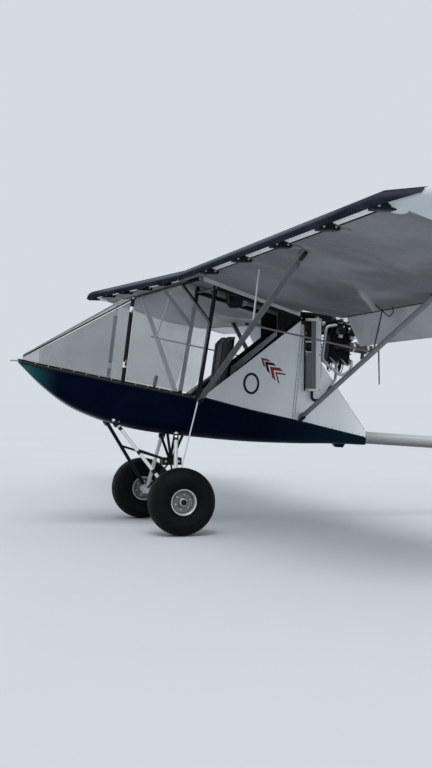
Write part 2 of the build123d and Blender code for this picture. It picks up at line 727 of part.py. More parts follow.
def jury_ends():
    """Points on the two lift struts where the jury struts meet them, to starboard."""
    pairs = ((FRONT_STRUT_FOOT, FRONT_STRUT_HEAD), (REAR_STRUT_FOOT, REAR_STRUT_HEAD))
    return [tuple(f + (h - f) * share for f, h in zip(foot, head))
            for share, (foot, head) in zip(JURY_SHARES, pairs)]


def build_jury_struts(side, front, rear, wing):
    """Tube between the lift struts, its end ahead of the front one, and two stays up to the wing."""
    ends = jury_ends()
    run = (Vector(*ends[0]) - Vector(*ends[1])).normalized()
    nose = Vector(*ends[0]) + run * JURY_OVERHANG
    tubes = [rod(*ends, JURY_D), rod(ends[0], tuple(nose), JURY_D)]
    for (x, y, z), (top_x, top_y) in zip(ends, JURY_TOPS):
        tubes.append(rod((x, y, z), (top_x, top_y, wing_low_z(top_x, top_y) + JURY_D), JURY_D))
    return [trimmed(mirror_side(tube, side), front, rear, wing) for tube in tubes]


def build_gear(side, hull):
    """Axle with its front and rear legs, welded at the axle block."""
    block_y = AXLE_INNER_Y + AXLE_BLOCK[1] / 2 - 14
    hub_half = RIM_HUB_WIDTH / 2
    collar_y = WHEEL_Y - hub_half - HUB_END_GAP - AXLE_COLLAR / 2
    nut_y = WHEEL_Y + hub_half + HUB_END_GAP + AXLE_COLLAR / 2
    gear = Pos(0, block_y, AXLE_Z) * Box(*AXLE_BLOCK)
    gear = gear + rod((0, block_y, AXLE_Z), (0, nut_y + AXLE_END_PROUD, AXLE_Z), AXLE_D)
    for y in (collar_y, nut_y):
        gear = gear + rod((0, y - AXLE_COLLAR / 2, AXLE_Z), (0, y + AXLE_COLLAR / 2, AXLE_Z), AXLE_NUT_D)
    foot = (0, block_y, AXLE_Z)
    gear = gear + rod(FRONT_LEG_TOP, foot, FRONT_LEG_D) + rod(REAR_LEG_TOP, foot, REAR_LEG_D)
    return {"gear_legs": trimmed(mirror_side(gear, side), hull)}


def build_gear_bracing(hull, legs):
    """Centre pylon under the hull, with its cross struts and drag braces out to the legs."""
    block_y = AXLE_INNER_Y + AXLE_BLOCK[1] / 2 - 14
    foot = (0, block_y, AXLE_Z)
    brace_at = tuple(t + (f - t) * DRAG_BRACE_SHARE for t, f in zip(FRONT_LEG_TOP, foot))
    bracing = Pos(*APEX) * Box(*APEX_BLOCK)
    for side in (1, -1):
        for x, y, z in CABANE_TOPS:
            bracing = bracing + rod((x, side * y, z), (APEX[0], side * 20, APEX[2]), CABANE_D)
        bracing = bracing + mirror_side(rod(foot, APEX, CROSS_STRUT_D), side)
        bracing = bracing + mirror_side(rod(brace_at, APEX, DRAG_BRACE_D), side)
    return trimmed(bracing, hull, *legs)


def build_side_braces(fixed):
    """Thin stays from the lift strut's foot down to the axle, outside the hull."""
    block_y = AXLE_INNER_Y + AXLE_BLOCK[1] / 2 - 14
    stay = rod(SIDE_BRACE_TOP, (-10, block_y + 4, AXLE_Z + 20), SIDE_BRACE_D)
    return Compound(children=[trimmed(mirror_side(stay, side), *fixed) for side in (1, -1)])


def revolve_wheel(points_and_arcs):
    """Turns a half section given in (y, radius) about the wheel's axis at the origin."""
    return revolve(make_face(points_and_arcs), axis=Axis.Y)


def build_wheel(side):
    r_out, r_in = TYRE_OD / 2, RIM_OD / 2 + SEAT_GAP
    half = TYRE_WIDTH / 2

    def at(y, r):
        return (r, y, 0)

    bead = RIM_WIDTH / 2 - 14
    tread = half * 0.2
    shoulder = (half * 0.84, r_out - 42)
    tyre = revolve_wheel([
        Line(at(-bead, r_in), at(bead, r_in)),
        ThreePointArc(at(bead, r_in), at(half, (r_in + r_out) / 2 - 14), at(*shoulder)),
        TangentArc(at(tread, r_out), at(*shoulder), tangent=(0, 1, 0)),
        Line(at(tread, r_out), at(-tread, r_out)),
        TangentArc(at(-tread, r_out), at(-shoulder[0], shoulder[1]), tangent=(0, -1, 0)),
        ThreePointArc(at(-shoulder[0], shoulder[1]), at(-half, (r_in + r_out) / 2 - 14), at(-bead, r_in)),
    ])
    rim_half, hub_half = RIM_WIDTH / 2, RIM_HUB_WIDTH / 2
    web = rim_half - RIM_DISH_DEPTH
    outline = [(hub_half, 0), (hub_half, RIM_HUB_R), (web, RIM_HUB_R + 8), (web, RIM_OD / 2 - 14),
               (bead, RIM_OD / 2 - 8), (bead, RIM_OD / 2)]
    points = [at(y, r) for y, r in outline] + [at(-y, r) for y, r in outline[::-1]]
    rim = revolve_wheel([*Polyline(*points, close=True).edges()])
    rim = rim - rod((0, -200, 0), (0, 200, 0), AXLE_D + 2 * AXLE_RUNNING_GAP)
    place = Pos(0, WHEEL_Y, AXLE_Z)
    return {"tyre": mirror_side(place * tyre, side), "rim": mirror_side(place * rim, side)}


def thrust_frame():
    """Plane at the hub: local X is u, aft along the shaft, local Y is v and local Z is w."""
    c, n = math.cos(math.radians(THRUST_TILT)), math.sin(math.radians(THRUST_TILT))
    return Plane(origin=PROP_HUB, x_dir=(c, 0, -n), z_dir=(n, 0, c))


def to_global(u, v, w):
    """Point given in the frame of the thrust line."""
    return tuple(thrust_frame().from_local_coords(Vector(u, v, w)))


def block(u0, u1, half, w0, w1):
    """Box in the frame of the thrust line."""
    return Pos((u0 + u1) / 2, 0, (w0 + w1) / 2) * Box(u1 - u0, 2 * half, w1 - w0)


def build_engine():
    """Inverted liquid-cooled twin: crankcase on top, finned cylinders and heads below it."""
    engine = block(*CRANKCASE) + block(*CYLINDERS) + block(*HEAD)
    u0, u1, half, w0, w1 = CYLINDERS
    pitch = (w1 - w0) / (FIN_COUNT + 1)
    for i in range(FIN_COUNT):
        w = w0 + (i + 1) * pitch
        engine = engine + block(u0 - FIN_REACH, u1 + FIN_REACH, half + FIN_REACH, w - FIN_THICKNESS / 2,
                                w + FIN_THICKNESS / 2)
    front = CRANKCASE[0]
    engine = engine + rod((front - FLYWHEEL_DEPTH, 0, CRANK_W), (front, 0, CRANK_W), FLYWHEEL_D)
    for u in BORE_U:
        engine = engine + rod((u, 0, HEAD[3] - PLUG_LENGTH), (u, 0, HEAD[3]), PLUG_D)
        engine = engine + rod((u, -CRANKCASE[2] - INTAKE_LENGTH, INTAKE_W), (u, -CYLINDERS[2], INTAKE_W), INTAKE_D)
    return thrust_frame().location * engine


def build_gearbox():
    """Reduction housing from the crankshaft up to the propeller shaft, and the shaft."""
    start = CRANKCASE[1] + SEAT_GAP
    low = CRANK_W - GEARBOX_REACH
    plane = Plane(origin=(start, 0, (low + GEARBOX_REACH) / 2), x_dir=(0, 0, 1), z_dir=(1, 0, 0))
    housing = extrude(plane * SlotOverall(GEARBOX_REACH - low, GEARBOX_WIDTH), amount=GEARBOX_DEPTH)
    shaft = rod((start + GEARBOX_DEPTH / 2, 0, 0), (HUB_LENGTH / 2, 0, 0), SHAFT_D)
    return thrust_frame().location * (housing + shaft)


def build_exhaust(engine):
    """Silencer beside the cylinders, its two header pipes and the tail pipe."""
    v, w = SILENCER_V, EXHAUST_W
    u0, u1 = SILENCER_U
    exhaust = rod((u0, v, w), (u1, v, w), SILENCER_D)
    wall = CYLINDERS[2]
    for u, end in ((BORE_U[0], u0 + HEADER_D / 2), (BORE_U[1], BORE_U[1])):
        exhaust = exhaust + rod((u, -wall, w), (end, v, w), HEADER_D)
    tail_u = (u0 + 2 * u1) / 3
    exhaust = exhaust + rod((tail_u, v, w), (tail_u, v, w - TAILPIPE_DROP), TAILPIPE_D)
    return trimmed(thrust_frame().location * exhaust, engine)


def hose(points, bends):
    """Round hose along straight runs with a bend at each corner."""
    path = FilletPolyline(*points, radius=bends)
    start = Plane(origin=points[0], z_dir=Vector(*points[1]) - Vector(*points[0]))
    return sweep(start * Circle(HOSE_D / 2), path=path)


def build_hoses(engine, radiator):
    """Loop round the engine, and the hoses from the radiator's foot and head."""
    u_start, w_start = LOOP_START
    u_end, w_end = LOOP_RUNS[-1]
    loop = [(u_start, -CRANKCASE[2], w_start), (u_start, LOOP_V, w_start)]
    loop += [(u, LOOP_V, w) for u, w in LOOP_RUNS] + [(u_end, -HEAD[2], w_end)]
    box = radiator.bounding_box()
    y = (box.min.Y + box.max.Y) / 2
    x, _, foot_z = LOW_HOSE_RUNS[0]
    end_u, end_w = LOW_HOSE_END
    head = to_global(end_u, LOW_HOSE_RUNS[-1][1], end_w)
    low = [(x, y, box.min.Z)] + [(x, y, foot_z)] + LOW_HOSE_RUNS[1:] + [head]
    front = to_global(CRANKCASE[0] - FLYWHEEL_DEPTH, -FLYWHEEL_D / 4, CRANK_W)
    before = to_global(CRANKCASE[0] - FLYWHEEL_DEPTH - 2 * HOSE_D, -FLYWHEEL_D / 4, CRANK_W)
    top = [(box.max.X, y, TOP_HOSE_Z), (TOP_HOSE_X, y, TOP_HOSE_Z), before, front]
    shapes = [thrust_frame().location * hose(loop, LOOP_BENDS), hose(low, LOW_HOSE_BENDS),
              hose(top, TOP_HOSE_BENDS)]
    return [trimmed(shape, engine, radiator) for shape in shapes]


def build_mount(engine, frames, fairing_back):
    """Tubes from the back of the cabin frame to the engine."""
    rear, post_low = FRAME_TUBES[4], FRAME_TUBES[6]
    tubes = []
    for s in (1, -1):
        rail_end, low_end = [to_global(u, s * v, w) for u, v, w in (MOUNT_RAIL_END, MOUNT_LOW_END)]
        top = rod((rear[3], s * frame_y(rear[3]), rear[4]), rail_end, MOUNT_TUBE_D)
        foot_x = post_low[3] + (MOUNT_LOW_Z - post_low[4]) * (post_low[1] - post_low[3]) / (post_low[2] - post_low[4])
        low = rod((foot_x, s * frame_y(post_low[3]), MOUNT_LOW_Z), low_end, MOUNT_TUBE_D)
        tubes += [trimmed(tube, engine, *frames, fairing_back) for tube in (top, low)]
    return Compound(children=tubes)


def build_radiator(mount):
    x, z = RADIATOR_X, RADIATOR_Z
    inner_y = 1 - SEAT_GAP - rail_y(x[0])
    y = (inner_y - RADIATOR_DEPTH, inner_y)
    box = Pos(sum(x) / 2, sum(y) / 2, sum(z) / 2) * Box(x[1] - x[0], y[1] - y[0], z[1] - z[0])
    return trimmed(box, mount)


def blade_section(radius, chord, thickness, angle):
    """Lens section square to the blade, at its distance from the axis, in the hub's frame."""
    c, s = math.cos(math.radians(angle)), math.sin(math.radians(angle))

    def at(along, across):
        return (-along * s - across * c, along * c - across * s, radius)

    h, t = chord / 2, thickness / 2
    return make_face([ThreePointArc(at(-h, 0), at(0, t), at(h, 0)), ThreePointArc(at(h, 0), at(0, -t), at(-h, 0))])


def build_propeller():
    """Two blades on a round hub, bored for the shaft and the hub bolts."""
    half = HUB_LENGTH / 2
    blade = loft([blade_section(*section) for section in BLADE_SECTIONS], ruled=True)
    prop = rod((-half, 0, 0), (half, 0, 0), HUB_D) + blade + Rot(180, 0, 0) * blade
    prop = prop - rod((-HUB_D, 0, 0), (HUB_D, 0, 0), SHAFT_D + 2 * SHAFT_GAP)
    for i in range(HUB_BOLTS):
        turn = math.radians(i * 360 / HUB_BOLTS)
        v, w = HUB_BOLT_PCD / 2 * math.cos(turn), HUB_BOLT_PCD / 2 * math.sin(turn)
        prop = prop - rod((-HUB_D, v, w), (HUB_D, v, w), 2 * HUB_BOLT_R)
    return thrust_frame().location * (Rot(BLADE_REST, 0, 0) * prop)


def build_pouch():
    """Soft pouch that hangs under the roof behind the seat."""
    x0, x1 = POUCH_X
    outline = [(x, wing_low_z(x, 0) - SEAT_GAP) for x in (x0, x1)] + [(x1, POUCH_FOOT_Z), (x0, POUCH_FOOT_Z)]
    pouch = profile_xz(outline, *POUCH_Y)
    return fillet(pouch.edges().group_by(Axis.Z)[0], POUCH_ROUND)


def tail_plane(x, rise_z):
    """Plane along the boom at x: local x runs aft, local y to starboard."""
    n = math.hypot(1, BOOM_DROP)
    return Plane(origin=(x, 0, boom_z(x) + rise_z), x_dir=(1 / n, 0, -BOOM_DROP / n),
                 z_dir=(BOOM_DROP / n, 0, 1 / n))


def flat_surface(plane, length, chord, nose_r, edge):
    """Movable surface: round nose on the plane's origin line, drawn out along its normal."""
    face = make_face([
        ThreePointArc((0, nose_r), (-nose_r, 0), (0, -nose_r)),
        Line((0, -nose_r), (chord, -edge / 2)),
        Line((chord, -edge / 2), (chord, edge / 2)),
        Line((chord, edge / 2), (0, nose_r)),
    ])
    return extrude(plane * face, amount=length)


def build_tail(boom):
    half = TAIL_THICKNESS / 2
    hinge_u = STAB_X[1] - STAB_X[0] + TAIL_HINGE_GAP + SURFACE_NOSE_RADIUS
    base = tail_plane(STAB_X[0], STAB_RISE)
    hinge_at = base.from_local_coords(Vector(hinge_u, 0, 0))
    down = base.x_dir

    chord_end = STAB_X[1] - STAB_X[0]
    outline = [(0, FIN_HALF + SEAT_GAP), (STAB_TIP_INSET, STAB_HALF_SPAN), (chord_end, STAB_HALF_SPAN),
               (chord_end, FIN_HALF + SEAT_GAP)]
    stab = extrude(base * make_face(Polyline(*outline, close=True)), amount=half, both=True)

    plane = Plane(origin=hinge_at + Vector(0, ELEVATOR_INNER_Y, 0), x_dir=down, z_dir=(0, 1, 0))
    elevator = flat_surface(plane, STAB_HALF_SPAN - ELEVATOR_INNER_Y, ELEVATOR_CHORD, SURFACE_NOSE_RADIUS,
                            SURFACE_EDGE)
    for share in ELEVATOR_HINGE_SHARES:
        y = ELEVATOR_INNER_Y + share * (STAB_HALF_SPAN - ELEVATOR_INNER_Y)
        at = (hinge_at.X, y, hinge_at.Z)
        leaf_to = hinge_at - down * (TAIL_HINGE_GAP + SURFACE_NOSE_RADIUS + 8) + Vector(0, y, 0)
        stab, elevator = hinge(stab, elevator, at, (0, 1, 0), tuple(leaf_to))
    stabs = [stab, mirror_side(stab, -1)]
    tube = rod((hinge_at.X, -ELEVATOR_INNER_Y, hinge_at.Z), (hinge_at.X, ELEVATOR_INNER_Y, hinge_at.Z),
               2 * SURFACE_NOSE_RADIUS - 6)
    elevator = elevator + mirror_side(elevator, -1) + tube

    rear_x = RUDDER_HINGE_X - TAIL_HINGE_GAP - SURFACE_NOSE_RADIUS
    fin_outline = [(FIN_START_X, boom_z(FIN_START_X)), FIN_SHOULDER, (FIN_TOP_X, TAIL_TOP_Z), (rear_x, TAIL_TOP_Z),
                   (rear_x, TAIL_BOTTOM_Z)] + [(x, boom_z(x) + dz) for x, dz in FIN_BELLY]
    fin = profile_xz(fin_outline, -FIN_HALF, FIN_HALF) - boom
    room = 2 * HINGE_ROOM_R
    reach = TAIL_THICKNESS
    fin = fin - rod((hinge_at.X, -reach, hinge_at.Z), (hinge_at.X, reach, hinge_at.Z), room)
    hole_x, hole_z = TAIL_HOLE
    fin = fin - rod((hole_x, -reach, hole_z), (hole_x, reach, hole_z), 2 * TAIL_HOLE_R)

    foot_z = TAIL_BOTTOM_Z + RUDDER_FOOT_GAP
    rudder_plane = Plane(origin=(RUDDER_HINGE_X, 0, foot_z), x_dir=(1, 0, 0), z_dir=(0, 0, 1))
    rudder = flat_surface(rudder_plane, TAIL_TOP_Z - foot_z, TAIL_END_X - RUDDER_HINGE_X, SURFACE_NOSE_RADIUS,
                          SURFACE_EDGE)
    rudder = rudder & profile_xz(RUDDER_OUTLINE, -100, 100)
    for z in RUDDER_HINGE_Z:
        fin, rudder = hinge(fin, rudder, (RUDDER_HINGE_X, 0, z), (0, 0, 1), (rear_x - 8, 0, z))
    return {"stabilisers": Compound(children=stabs), "elevator": elevator, "fin": fin, "rudder": rudder}


def build_tail_gear(fixed):
    """Leg under the boom, its swivel housing, the fork and the wheel."""
    r = TAILWHEEL_OD / 2
    axle = (SWIVEL_X + TRAIL, 0, r)
    mid_z = sum(SWIVEL_Z) / 2
    leg = rod((4200, 0, boom_z(4200) - 20), (SWIVEL_X - 30, 0, mid_z), 26)
    leg = leg + rod((4480, 0, boom_z(4480) - 20), (SWIVEL_X - 22, 0, mid_z), 26)
    leg = leg + rod((SWIVEL_X, 0, SWIVEL_Z[0]), (SWIVEL_X, 0, SWIVEL_Z[1]), SWIVEL_D)
    leg = leg - rod((SWIVEL_X, 0, 0), (SWIVEL_X, 0, 1000), STEM_D + 2 * SEAT_GAP)
    leg = trimmed(leg, *fixed)
    crown_z = SWIVEL_Z[0] - 6
    inner = TAILWHEEL_WIDTH / 2 + 5
    arm = 8
    fork = rod((SWIVEL_X, 0, crown_z - 14), (SWIVEL_X, 0, SWIVEL_Z[1] + 14), STEM_D)
    fork = fork + rod((SWIVEL_X, 0, SWIVEL_Z[1] + 1), (SWIVEL_X, 0, SWIVEL_Z[1] + 14), STEM_D + 14)
    fork = fork + rod((SWIVEL_X, 0, SWIVEL_Z[0] - 1), (SWIVEL_X, 0, crown_z - 14), STEM_D + 18)
    top = crown_z - 14
    crown = Pos(SWIVEL_X, 0, top - 5) * Box(60, 2 * (inner + arm), 10)
    fork = fork + crown
    for s in (1, -1):
        y0 = s * inner if s > 0 else -(inner + arm)
        plate = profile_xz([(SWIVEL_X - 28, top - 2), (SWIVEL_X + 28, top - 2), (axle[0] + 18, r + 6),
                            (axle[0] + 18, r - 16), (axle[0] - 18, r - 16), (axle[0] - 22, r + 8)], y0, y0 + arm)
        fork = fork + plate
    fork = fork + rod((axle[0], -(inner + arm), r), (axle[0], inner + arm, r), 12)
    wheel = rod((axle[0], -TAILWHEEL_WIDTH / 2, r), (axle[0], TAILWHEEL_WIDTH / 2, r), TAILWHEEL_OD)
    wheel = fillet(wheel.edges().filter_by(GeomType.CIRCLE), 16)
    wheel = wheel - rod((axle[0], -60, r), (axle[0], 60, r), 12 + 2 * SEAT_GAP)
    return {"tailwheel_leg": leg, "tailwheel_fork": fork, "tailwheel": wheel}


def build_tail_struts(fixed):
    tubes = []
    for s in (1, -1):
        tube = rod((4290, s * 20, boom_z(4290) - 30), (4250, s * 820, boom_z(4250) + STAB_RISE), 16)
        tubes.append(trimmed(tube, *fixed))
    return tubes


def build_seat(hull):
    """Tray on the hull floor with a seat pad and a back pad."""
    x0, x1 = SEAT_PAN
    top_x, top_z = SEAT_BACK_TOP
    t = TRAY_THICKNESS
    tray = profile_xz([(x0, SEAT_PAN_Z), (x1, SEAT_PAN_Z - 20), (top_x, top_z), (top_x + t, top_z),
                       (x1 + t, SEAT_PAN_Z - 20 - t), (x0, SEAT_PAN_Z - t)], -SEAT_HALF, SEAT_HALF)
    for x in (x0 + 20, x1 - 40):
        leg = Pos(x, 0, (SEAT_PAN_Z + keel_z(x)) / 2 - 20) * Box(20, 2 * SEAT_HALF - 80, SEAT_PAN_Z - keel_z(x))
        tray = tray + leg
    tray = trimmed(tray, hull)
    g = SEAT_GAP
    cushion = profile_xz([(x0 + 4, SEAT_PAN_Z + g), (x1 - 44, SEAT_PAN_Z - 18 + g),
                          (x1 - 36, SEAT_PAN_Z - 18 + SEAT_CUSHION), (x0 + 4, SEAT_PAN_Z + SEAT_CUSHION)],
                         -SEAT_HALF + 6, SEAT_HALF - 6)
    lean = (top_x - x1) / (top_z - SEAT_PAN_Z + 20)
    low_z, high_z = SEAT_PAN_Z + SEAT_CUSHION + 8, top_z - 12

    def back_x(z):
        return x1 + lean * (z - SEAT_PAN_Z + 20) - 1

    b = SEAT_BACK_THICKNESS
    back = profile_xz([(back_x(low_z) - b, low_z), (back_x(low_z), low_z), (back_x(high_z), high_z),
                       (back_x(high_z) - b, high_z)], -SEAT_HALF + 6, SEAT_HALF - 6)
    return {"seat_tray": tray, "seat_cushion": cushion, "seat_back_pad": back}


def build_controls(hull):
    """Control stick and the two rudder pedals, fixed."""
    stick = rod((STICK_X, 0, keel_z(STICK_X) + HULL_WALL), (STICK_X, 0, STICK_TOP_Z - 90), STICK_D)
    stick = stick + rod((STICK_X, 0, STICK_TOP_Z - 90), (STICK_X + 20, 0, STICK_TOP_Z), STICK_D + 14)
    stick = trimmed(stick, hull)
    pedals = []
    for s in (1, -1):
        y = s * PEDAL_Y
        pedal = rod((PEDAL_X, y, keel_z(PEDAL_X)), (PEDAL_X, y, PEDAL_Z), 14)
        pedal = pedal + Pos(PEDAL_X, y, PEDAL_Z) * Box(16, 84, 60)
        pedals.append(trimmed(pedal, hull))
    return {"control_stick": stick, "rudder_pedals": Compound(children=pedals)}


def build_pitot(hull):
    nose = HULL_STATIONS[0]
    z = (nose[1] + nose[3]) / 2
    return trimmed(rod((PITOT_TIP_X, 0, z), (nose[0] + 60, 0, z), PITOT_D), hull)


def build_all():
    nodes = {}
    hull = build_hull()
    boom = build_boom()
    roof = build_centre()
    nodes["hull_shell"] = hull
    nodes["tail_boom"] = boom
    nodes["wing_centre"] = roof
    frames = [build_frame_side(side, hull, roof) for _, side in SIDES]
    fairing = build_fairing(frames)
    nodes.update(fairing)
    jury = []
    for (name, side), frame in zip(SIDES, frames):
        nodes["cabin_frame_" + name] = frame
        pieces = {**build_wing(side), **build_slat(side), **build_wheel(side), **build_gear(side, hull)}
        pieces["door"] = build_door(side)
        pieces.update(build_struts(side, hull, frame, fairing["fairing_" + name], pieces["wing"]))
        jury += build_jury_struts(side, pieces["front_strut"], pieces["rear_strut"], pieces["wing"])
        for piece, shape in pieces.items():
            nodes[piece + "_" + name] = shape
    nodes["jury_struts"] = Compound(children=jury)
    nodes["slat_brackets"] = build_brackets(nodes["slat_right"], nodes["wing_right"])
    legs = [nodes["gear_legs_" + name] for name, _ in SIDES]
    nodes["gear_bracing"] = build_gear_bracing(hull, legs)
    struts = [nodes["front_strut_" + name] for name, _ in SIDES]
    nodes["gear_side_braces"] = build_side_braces([hull, *legs, nodes["gear_bracing"], *struts])
    nodes["roof_cross_tubes"] = build_cross_tubes(frames)
    screen = build_windscreen(frames + [nodes["roof_cross_tubes"]])
    nodes["windscreen"] = biggest(screen + build_roof_window())
    engine = build_engine()
    nodes["engine_block"] = engine
    nodes["gearbox"] = build_gearbox()
    nodes["exhaust"] = build_exhaust(engine)
    nodes["engine_mount"] = build_mount(engine, frames, nodes["fairing_back"])
    nodes["radiator"] = build_radiator(nodes["engine_mount"])
    nodes["coolant_hoses"] = Compound(children=build_hoses(engine, nodes["radiator"]))
    nodes["propeller"] = build_propeller()
    nodes.update(build_tail(boom))
    nodes.update(build_tail_gear([boom, nodes["fin"]]))
    nodes["tail_struts"] = Compound(children=build_tail_struts([boom, nodes["fin"], nodes["stabilisers"]]))
    nodes.update(build_seat(hull))
    nodes["pouch"] = build_pouch()
    nodes.update(build_controls(hull))
    nodes["pitot_tube"] = build_pitot(hull)
    return nodes


def main():
    os.makedirs("parts", exist_ok=True)
    for name, shape in build_all().items():
        export_step(Pos(-ORIGIN_X, 0, 0) * shape, f"parts/{name}.step")


main()
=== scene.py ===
import bpy
import bmesh
import math
from itertools import product
from mathutils import Vector, Matrix, noise


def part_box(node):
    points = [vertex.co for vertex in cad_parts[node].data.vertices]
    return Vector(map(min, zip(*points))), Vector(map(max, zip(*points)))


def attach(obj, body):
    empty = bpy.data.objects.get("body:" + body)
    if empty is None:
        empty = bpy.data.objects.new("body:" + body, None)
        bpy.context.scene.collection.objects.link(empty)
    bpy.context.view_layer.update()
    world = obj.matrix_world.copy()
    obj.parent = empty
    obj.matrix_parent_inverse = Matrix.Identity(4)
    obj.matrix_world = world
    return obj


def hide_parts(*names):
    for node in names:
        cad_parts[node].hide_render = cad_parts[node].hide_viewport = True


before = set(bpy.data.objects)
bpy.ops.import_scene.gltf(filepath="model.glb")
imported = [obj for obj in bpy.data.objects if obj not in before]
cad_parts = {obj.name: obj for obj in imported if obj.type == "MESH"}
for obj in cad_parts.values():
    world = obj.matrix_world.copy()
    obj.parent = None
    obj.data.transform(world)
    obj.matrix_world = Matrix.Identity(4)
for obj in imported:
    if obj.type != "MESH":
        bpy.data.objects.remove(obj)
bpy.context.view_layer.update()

# Every length is in metres. The aircraft's own x is measured from the main axle, as in the part's
# source, and AXLE_X moves it into the shared frame. +X points aft, +Y to starboard.
AXLE_X = -1.885

# Camera: place, aim and lens that match the photograph's view of the aircraft
CAMERA_AT = (AXLE_X - 2.659, -10.067, 1.245)
CAMERA_AZIMUTH = 17.41
CAMERA_PITCH = -0.08
CAMERA_ROLL = 0.37
FOCAL_PX = 1202.8
PHOTO_HEIGHT_PX = 768
SENSOR_MM = 36.0
FLOOR_HALF = 60.0

# Hull: x, height of the rail, half width there, height of the keel, half width there
HULL_STATIONS = [
    (-1.234, 1.432, 0.014, 1.400, 0.008),
    (-1.046, 1.386, 0.108, 1.216, 0.056),
    (-0.845, 1.345, 0.182, 1.062, 0.104),
    (-0.688, 1.311, 0.226, 0.980, 0.146),
    (-0.465, 1.263, 0.284, 0.898, 0.190),
    (-0.178, 1.207, 0.322, 0.828, 0.232),
    (0.245, 1.125, 0.330, 0.776, 0.250),
    (0.711, 1.009, 0.300, 0.732, 0.226),
    (1.199, 0.909, 0.222, 0.708, 0.160),
    (1.598, 0.818, 0.142, 0.700, 0.108),
    (1.900, 0.752, 0.076, 0.684, 0.066),
]
HULL_NOSE = HULL_STATIONS[0][:2]
CHINE_SHARE = 0.45
HULL_SKIN = 0.008
HULL_RINGS = 120
BELLY_FITTING = [(1.590, 0.712), (1.634, 0.666), (1.698, 0.662), (1.726, 0.706)]
BELLY_HALF = 0.032

# Boom: radius, a point of its axis, its fall for each metre aft, and its collars
BOOM_R = 0.055
BOOM_REF = (2.030, 0.742)
BOOM_DROP = 0.0686
BOOM_COLLARS = (1.925, 3.93, 4.535)

# Wing section at the plane of symmetry, and what varies along the span
NOSE_BOTTOM = (0.246, 2.147)
NOSE_FRONT = (0.220, 2.178)
NOSE_TOP = (0.256, 2.205)
CREST_FRONT = (0.430, 2.234)
CREST = (0.620, 2.224)
AFT_TOP_MID = (1.092, 2.056)
AFT_TOP = (1.540, 1.836)
AFT_BOTTOM = (1.540, 1.808)
KEEL_POINT = (1.146, 1.867)
DIHEDRAL = math.tan(math.radians(1.36))
WING_ROOT = 0.334
WING_PANEL = 4.0
HALF_SPAN = 4.4
PANEL_GAP = 0.0003
TIP_SHARE = 0.62
TIP_PIVOT = (0.900, 2.185)
CENTRE_AFT = 1.180
RIB_PITCH = (WING_PANEL - WING_ROOT) / 9
RIB_SAG = 0.005
CLOTH_FOLD = 0.007
CLOTH_RIPPLE = 0.0016

# Darker patch under the wing beside the engine, and the fold at its outer edge that carries a painted
# highlight, each as (x, y)
DARK_PATCH_AT = (1.10, 1.35)
DARK_PATCH_REACH = (0.42, 0.80)
FOLD_AT = (1.144, 1.61)
FOLD_SLOPE = 1.6

# Flaps and ailerons
SURFACE_HINGE = (1.562, 1.822)
SURFACE_CHORD = 0.290
REAR_ANGLE = 15.5
FLAP_DROOP = 50
FLAP_Y = (0.420, 2.320)
AILERON_Y = (2.345, 3.985)

# Slat brackets, and the x where the nose's cover strips begin
BRACKET_WIDTH = 0.096
BRACKETS = [min(0.672 + i * 0.830, WING_PANEL - BRACKET_WIDTH / 2) for i in range(5)]
BRACKET_CLEAR = 0.075
STRIP_X = 0.262

# Cabin frame tubes by name: start x, start z, end x, end z, diameter
FRAME_Y = 0.294
FRAME_REAR_Y = 0.190
FRAME_BEND = 0.262
TUBES = {
    "front_post": (-0.406, 1.250, -0.325, 1.940, 0.034),
    "root_longeron": (0.402, 2.050, 1.216, 1.812, 0.036),
}
RIDGE_END_Z = 1.950

# Fairing
FAIRING_FOOT = 0.276
FAIRING_TOP = (1.208, 1.690)
FAIRING_TAIL = (1.896, 0.812)
FAIRING_SEAM = ((1.226, 1.780), (1.136, 0.930))

# Lift struts: feet and heads
FRONT_STRUT = ((0.245, 0.322, 1.078), (0.404, 2.370, 2.172))
REAR_STRUT = ((1.205, 0.212, 0.930), (1.423, 2.370, 1.902))

# Wheels and legs
WHEEL_Y = 0.667
AXLE_Z = 0.275
BLOCK_Y = 0.487
FRONT_LEG = (-0.460, 0.176, 0.930)
FRONT_LEG_R = 0.015
REAR_LEG = (0.078, 0.214, 0.815)
GEAR_APEX = (0.090, 0, 0.560)

# Thrust line: hub and tilt; points along it are u aft, v to starboard, w up
PROP_HUB = (2.050, 0.0, 1.875)
THRUST_TILT = math.radians(8)
CYLINDERS = (-0.420, -0.310)
SILENCER = (-0.182, -0.354)

# Seat
SEAT_PAN = (0.020, 0.500)
SEAT_PAN_Z = 0.936
SEAT_HALF = 0.188
SEAT_BACK_TOP = (0.600, 1.640)
PAD_CELLS = (14, 18)

SIDES = {-1: "left", 1: "right"}
PORT = Vector((0, -1, 0))
LOOKS = {}


def at(x, y, z):
    """Point given from the axle, in the shared frame."""
    return Vector((x + AXLE_X, y, z))


def steps(a, b, n):
    """n + 1 even values from a to b."""
    return [a + (b - a) * i / n for i in range(n + 1)]


def turns(n):
    """n even angles of a full turn."""
    return [math.tau * i / n for i in range(n)]


def mixed(a, b, share):
    """Point at a share of the way from a to b."""
    return tuple(p + (q - p) * share for p, q in zip(a, b))


def between(table, x):
    """Linear value at x from rows of (x, value)."""
    for (x0, v0), (x1, v1) in zip(table, table[1:]):
        if x <= x1:
            return v0 + (v1 - v0) * (x - x0) / (x1 - x0)
    return table[-1][1]


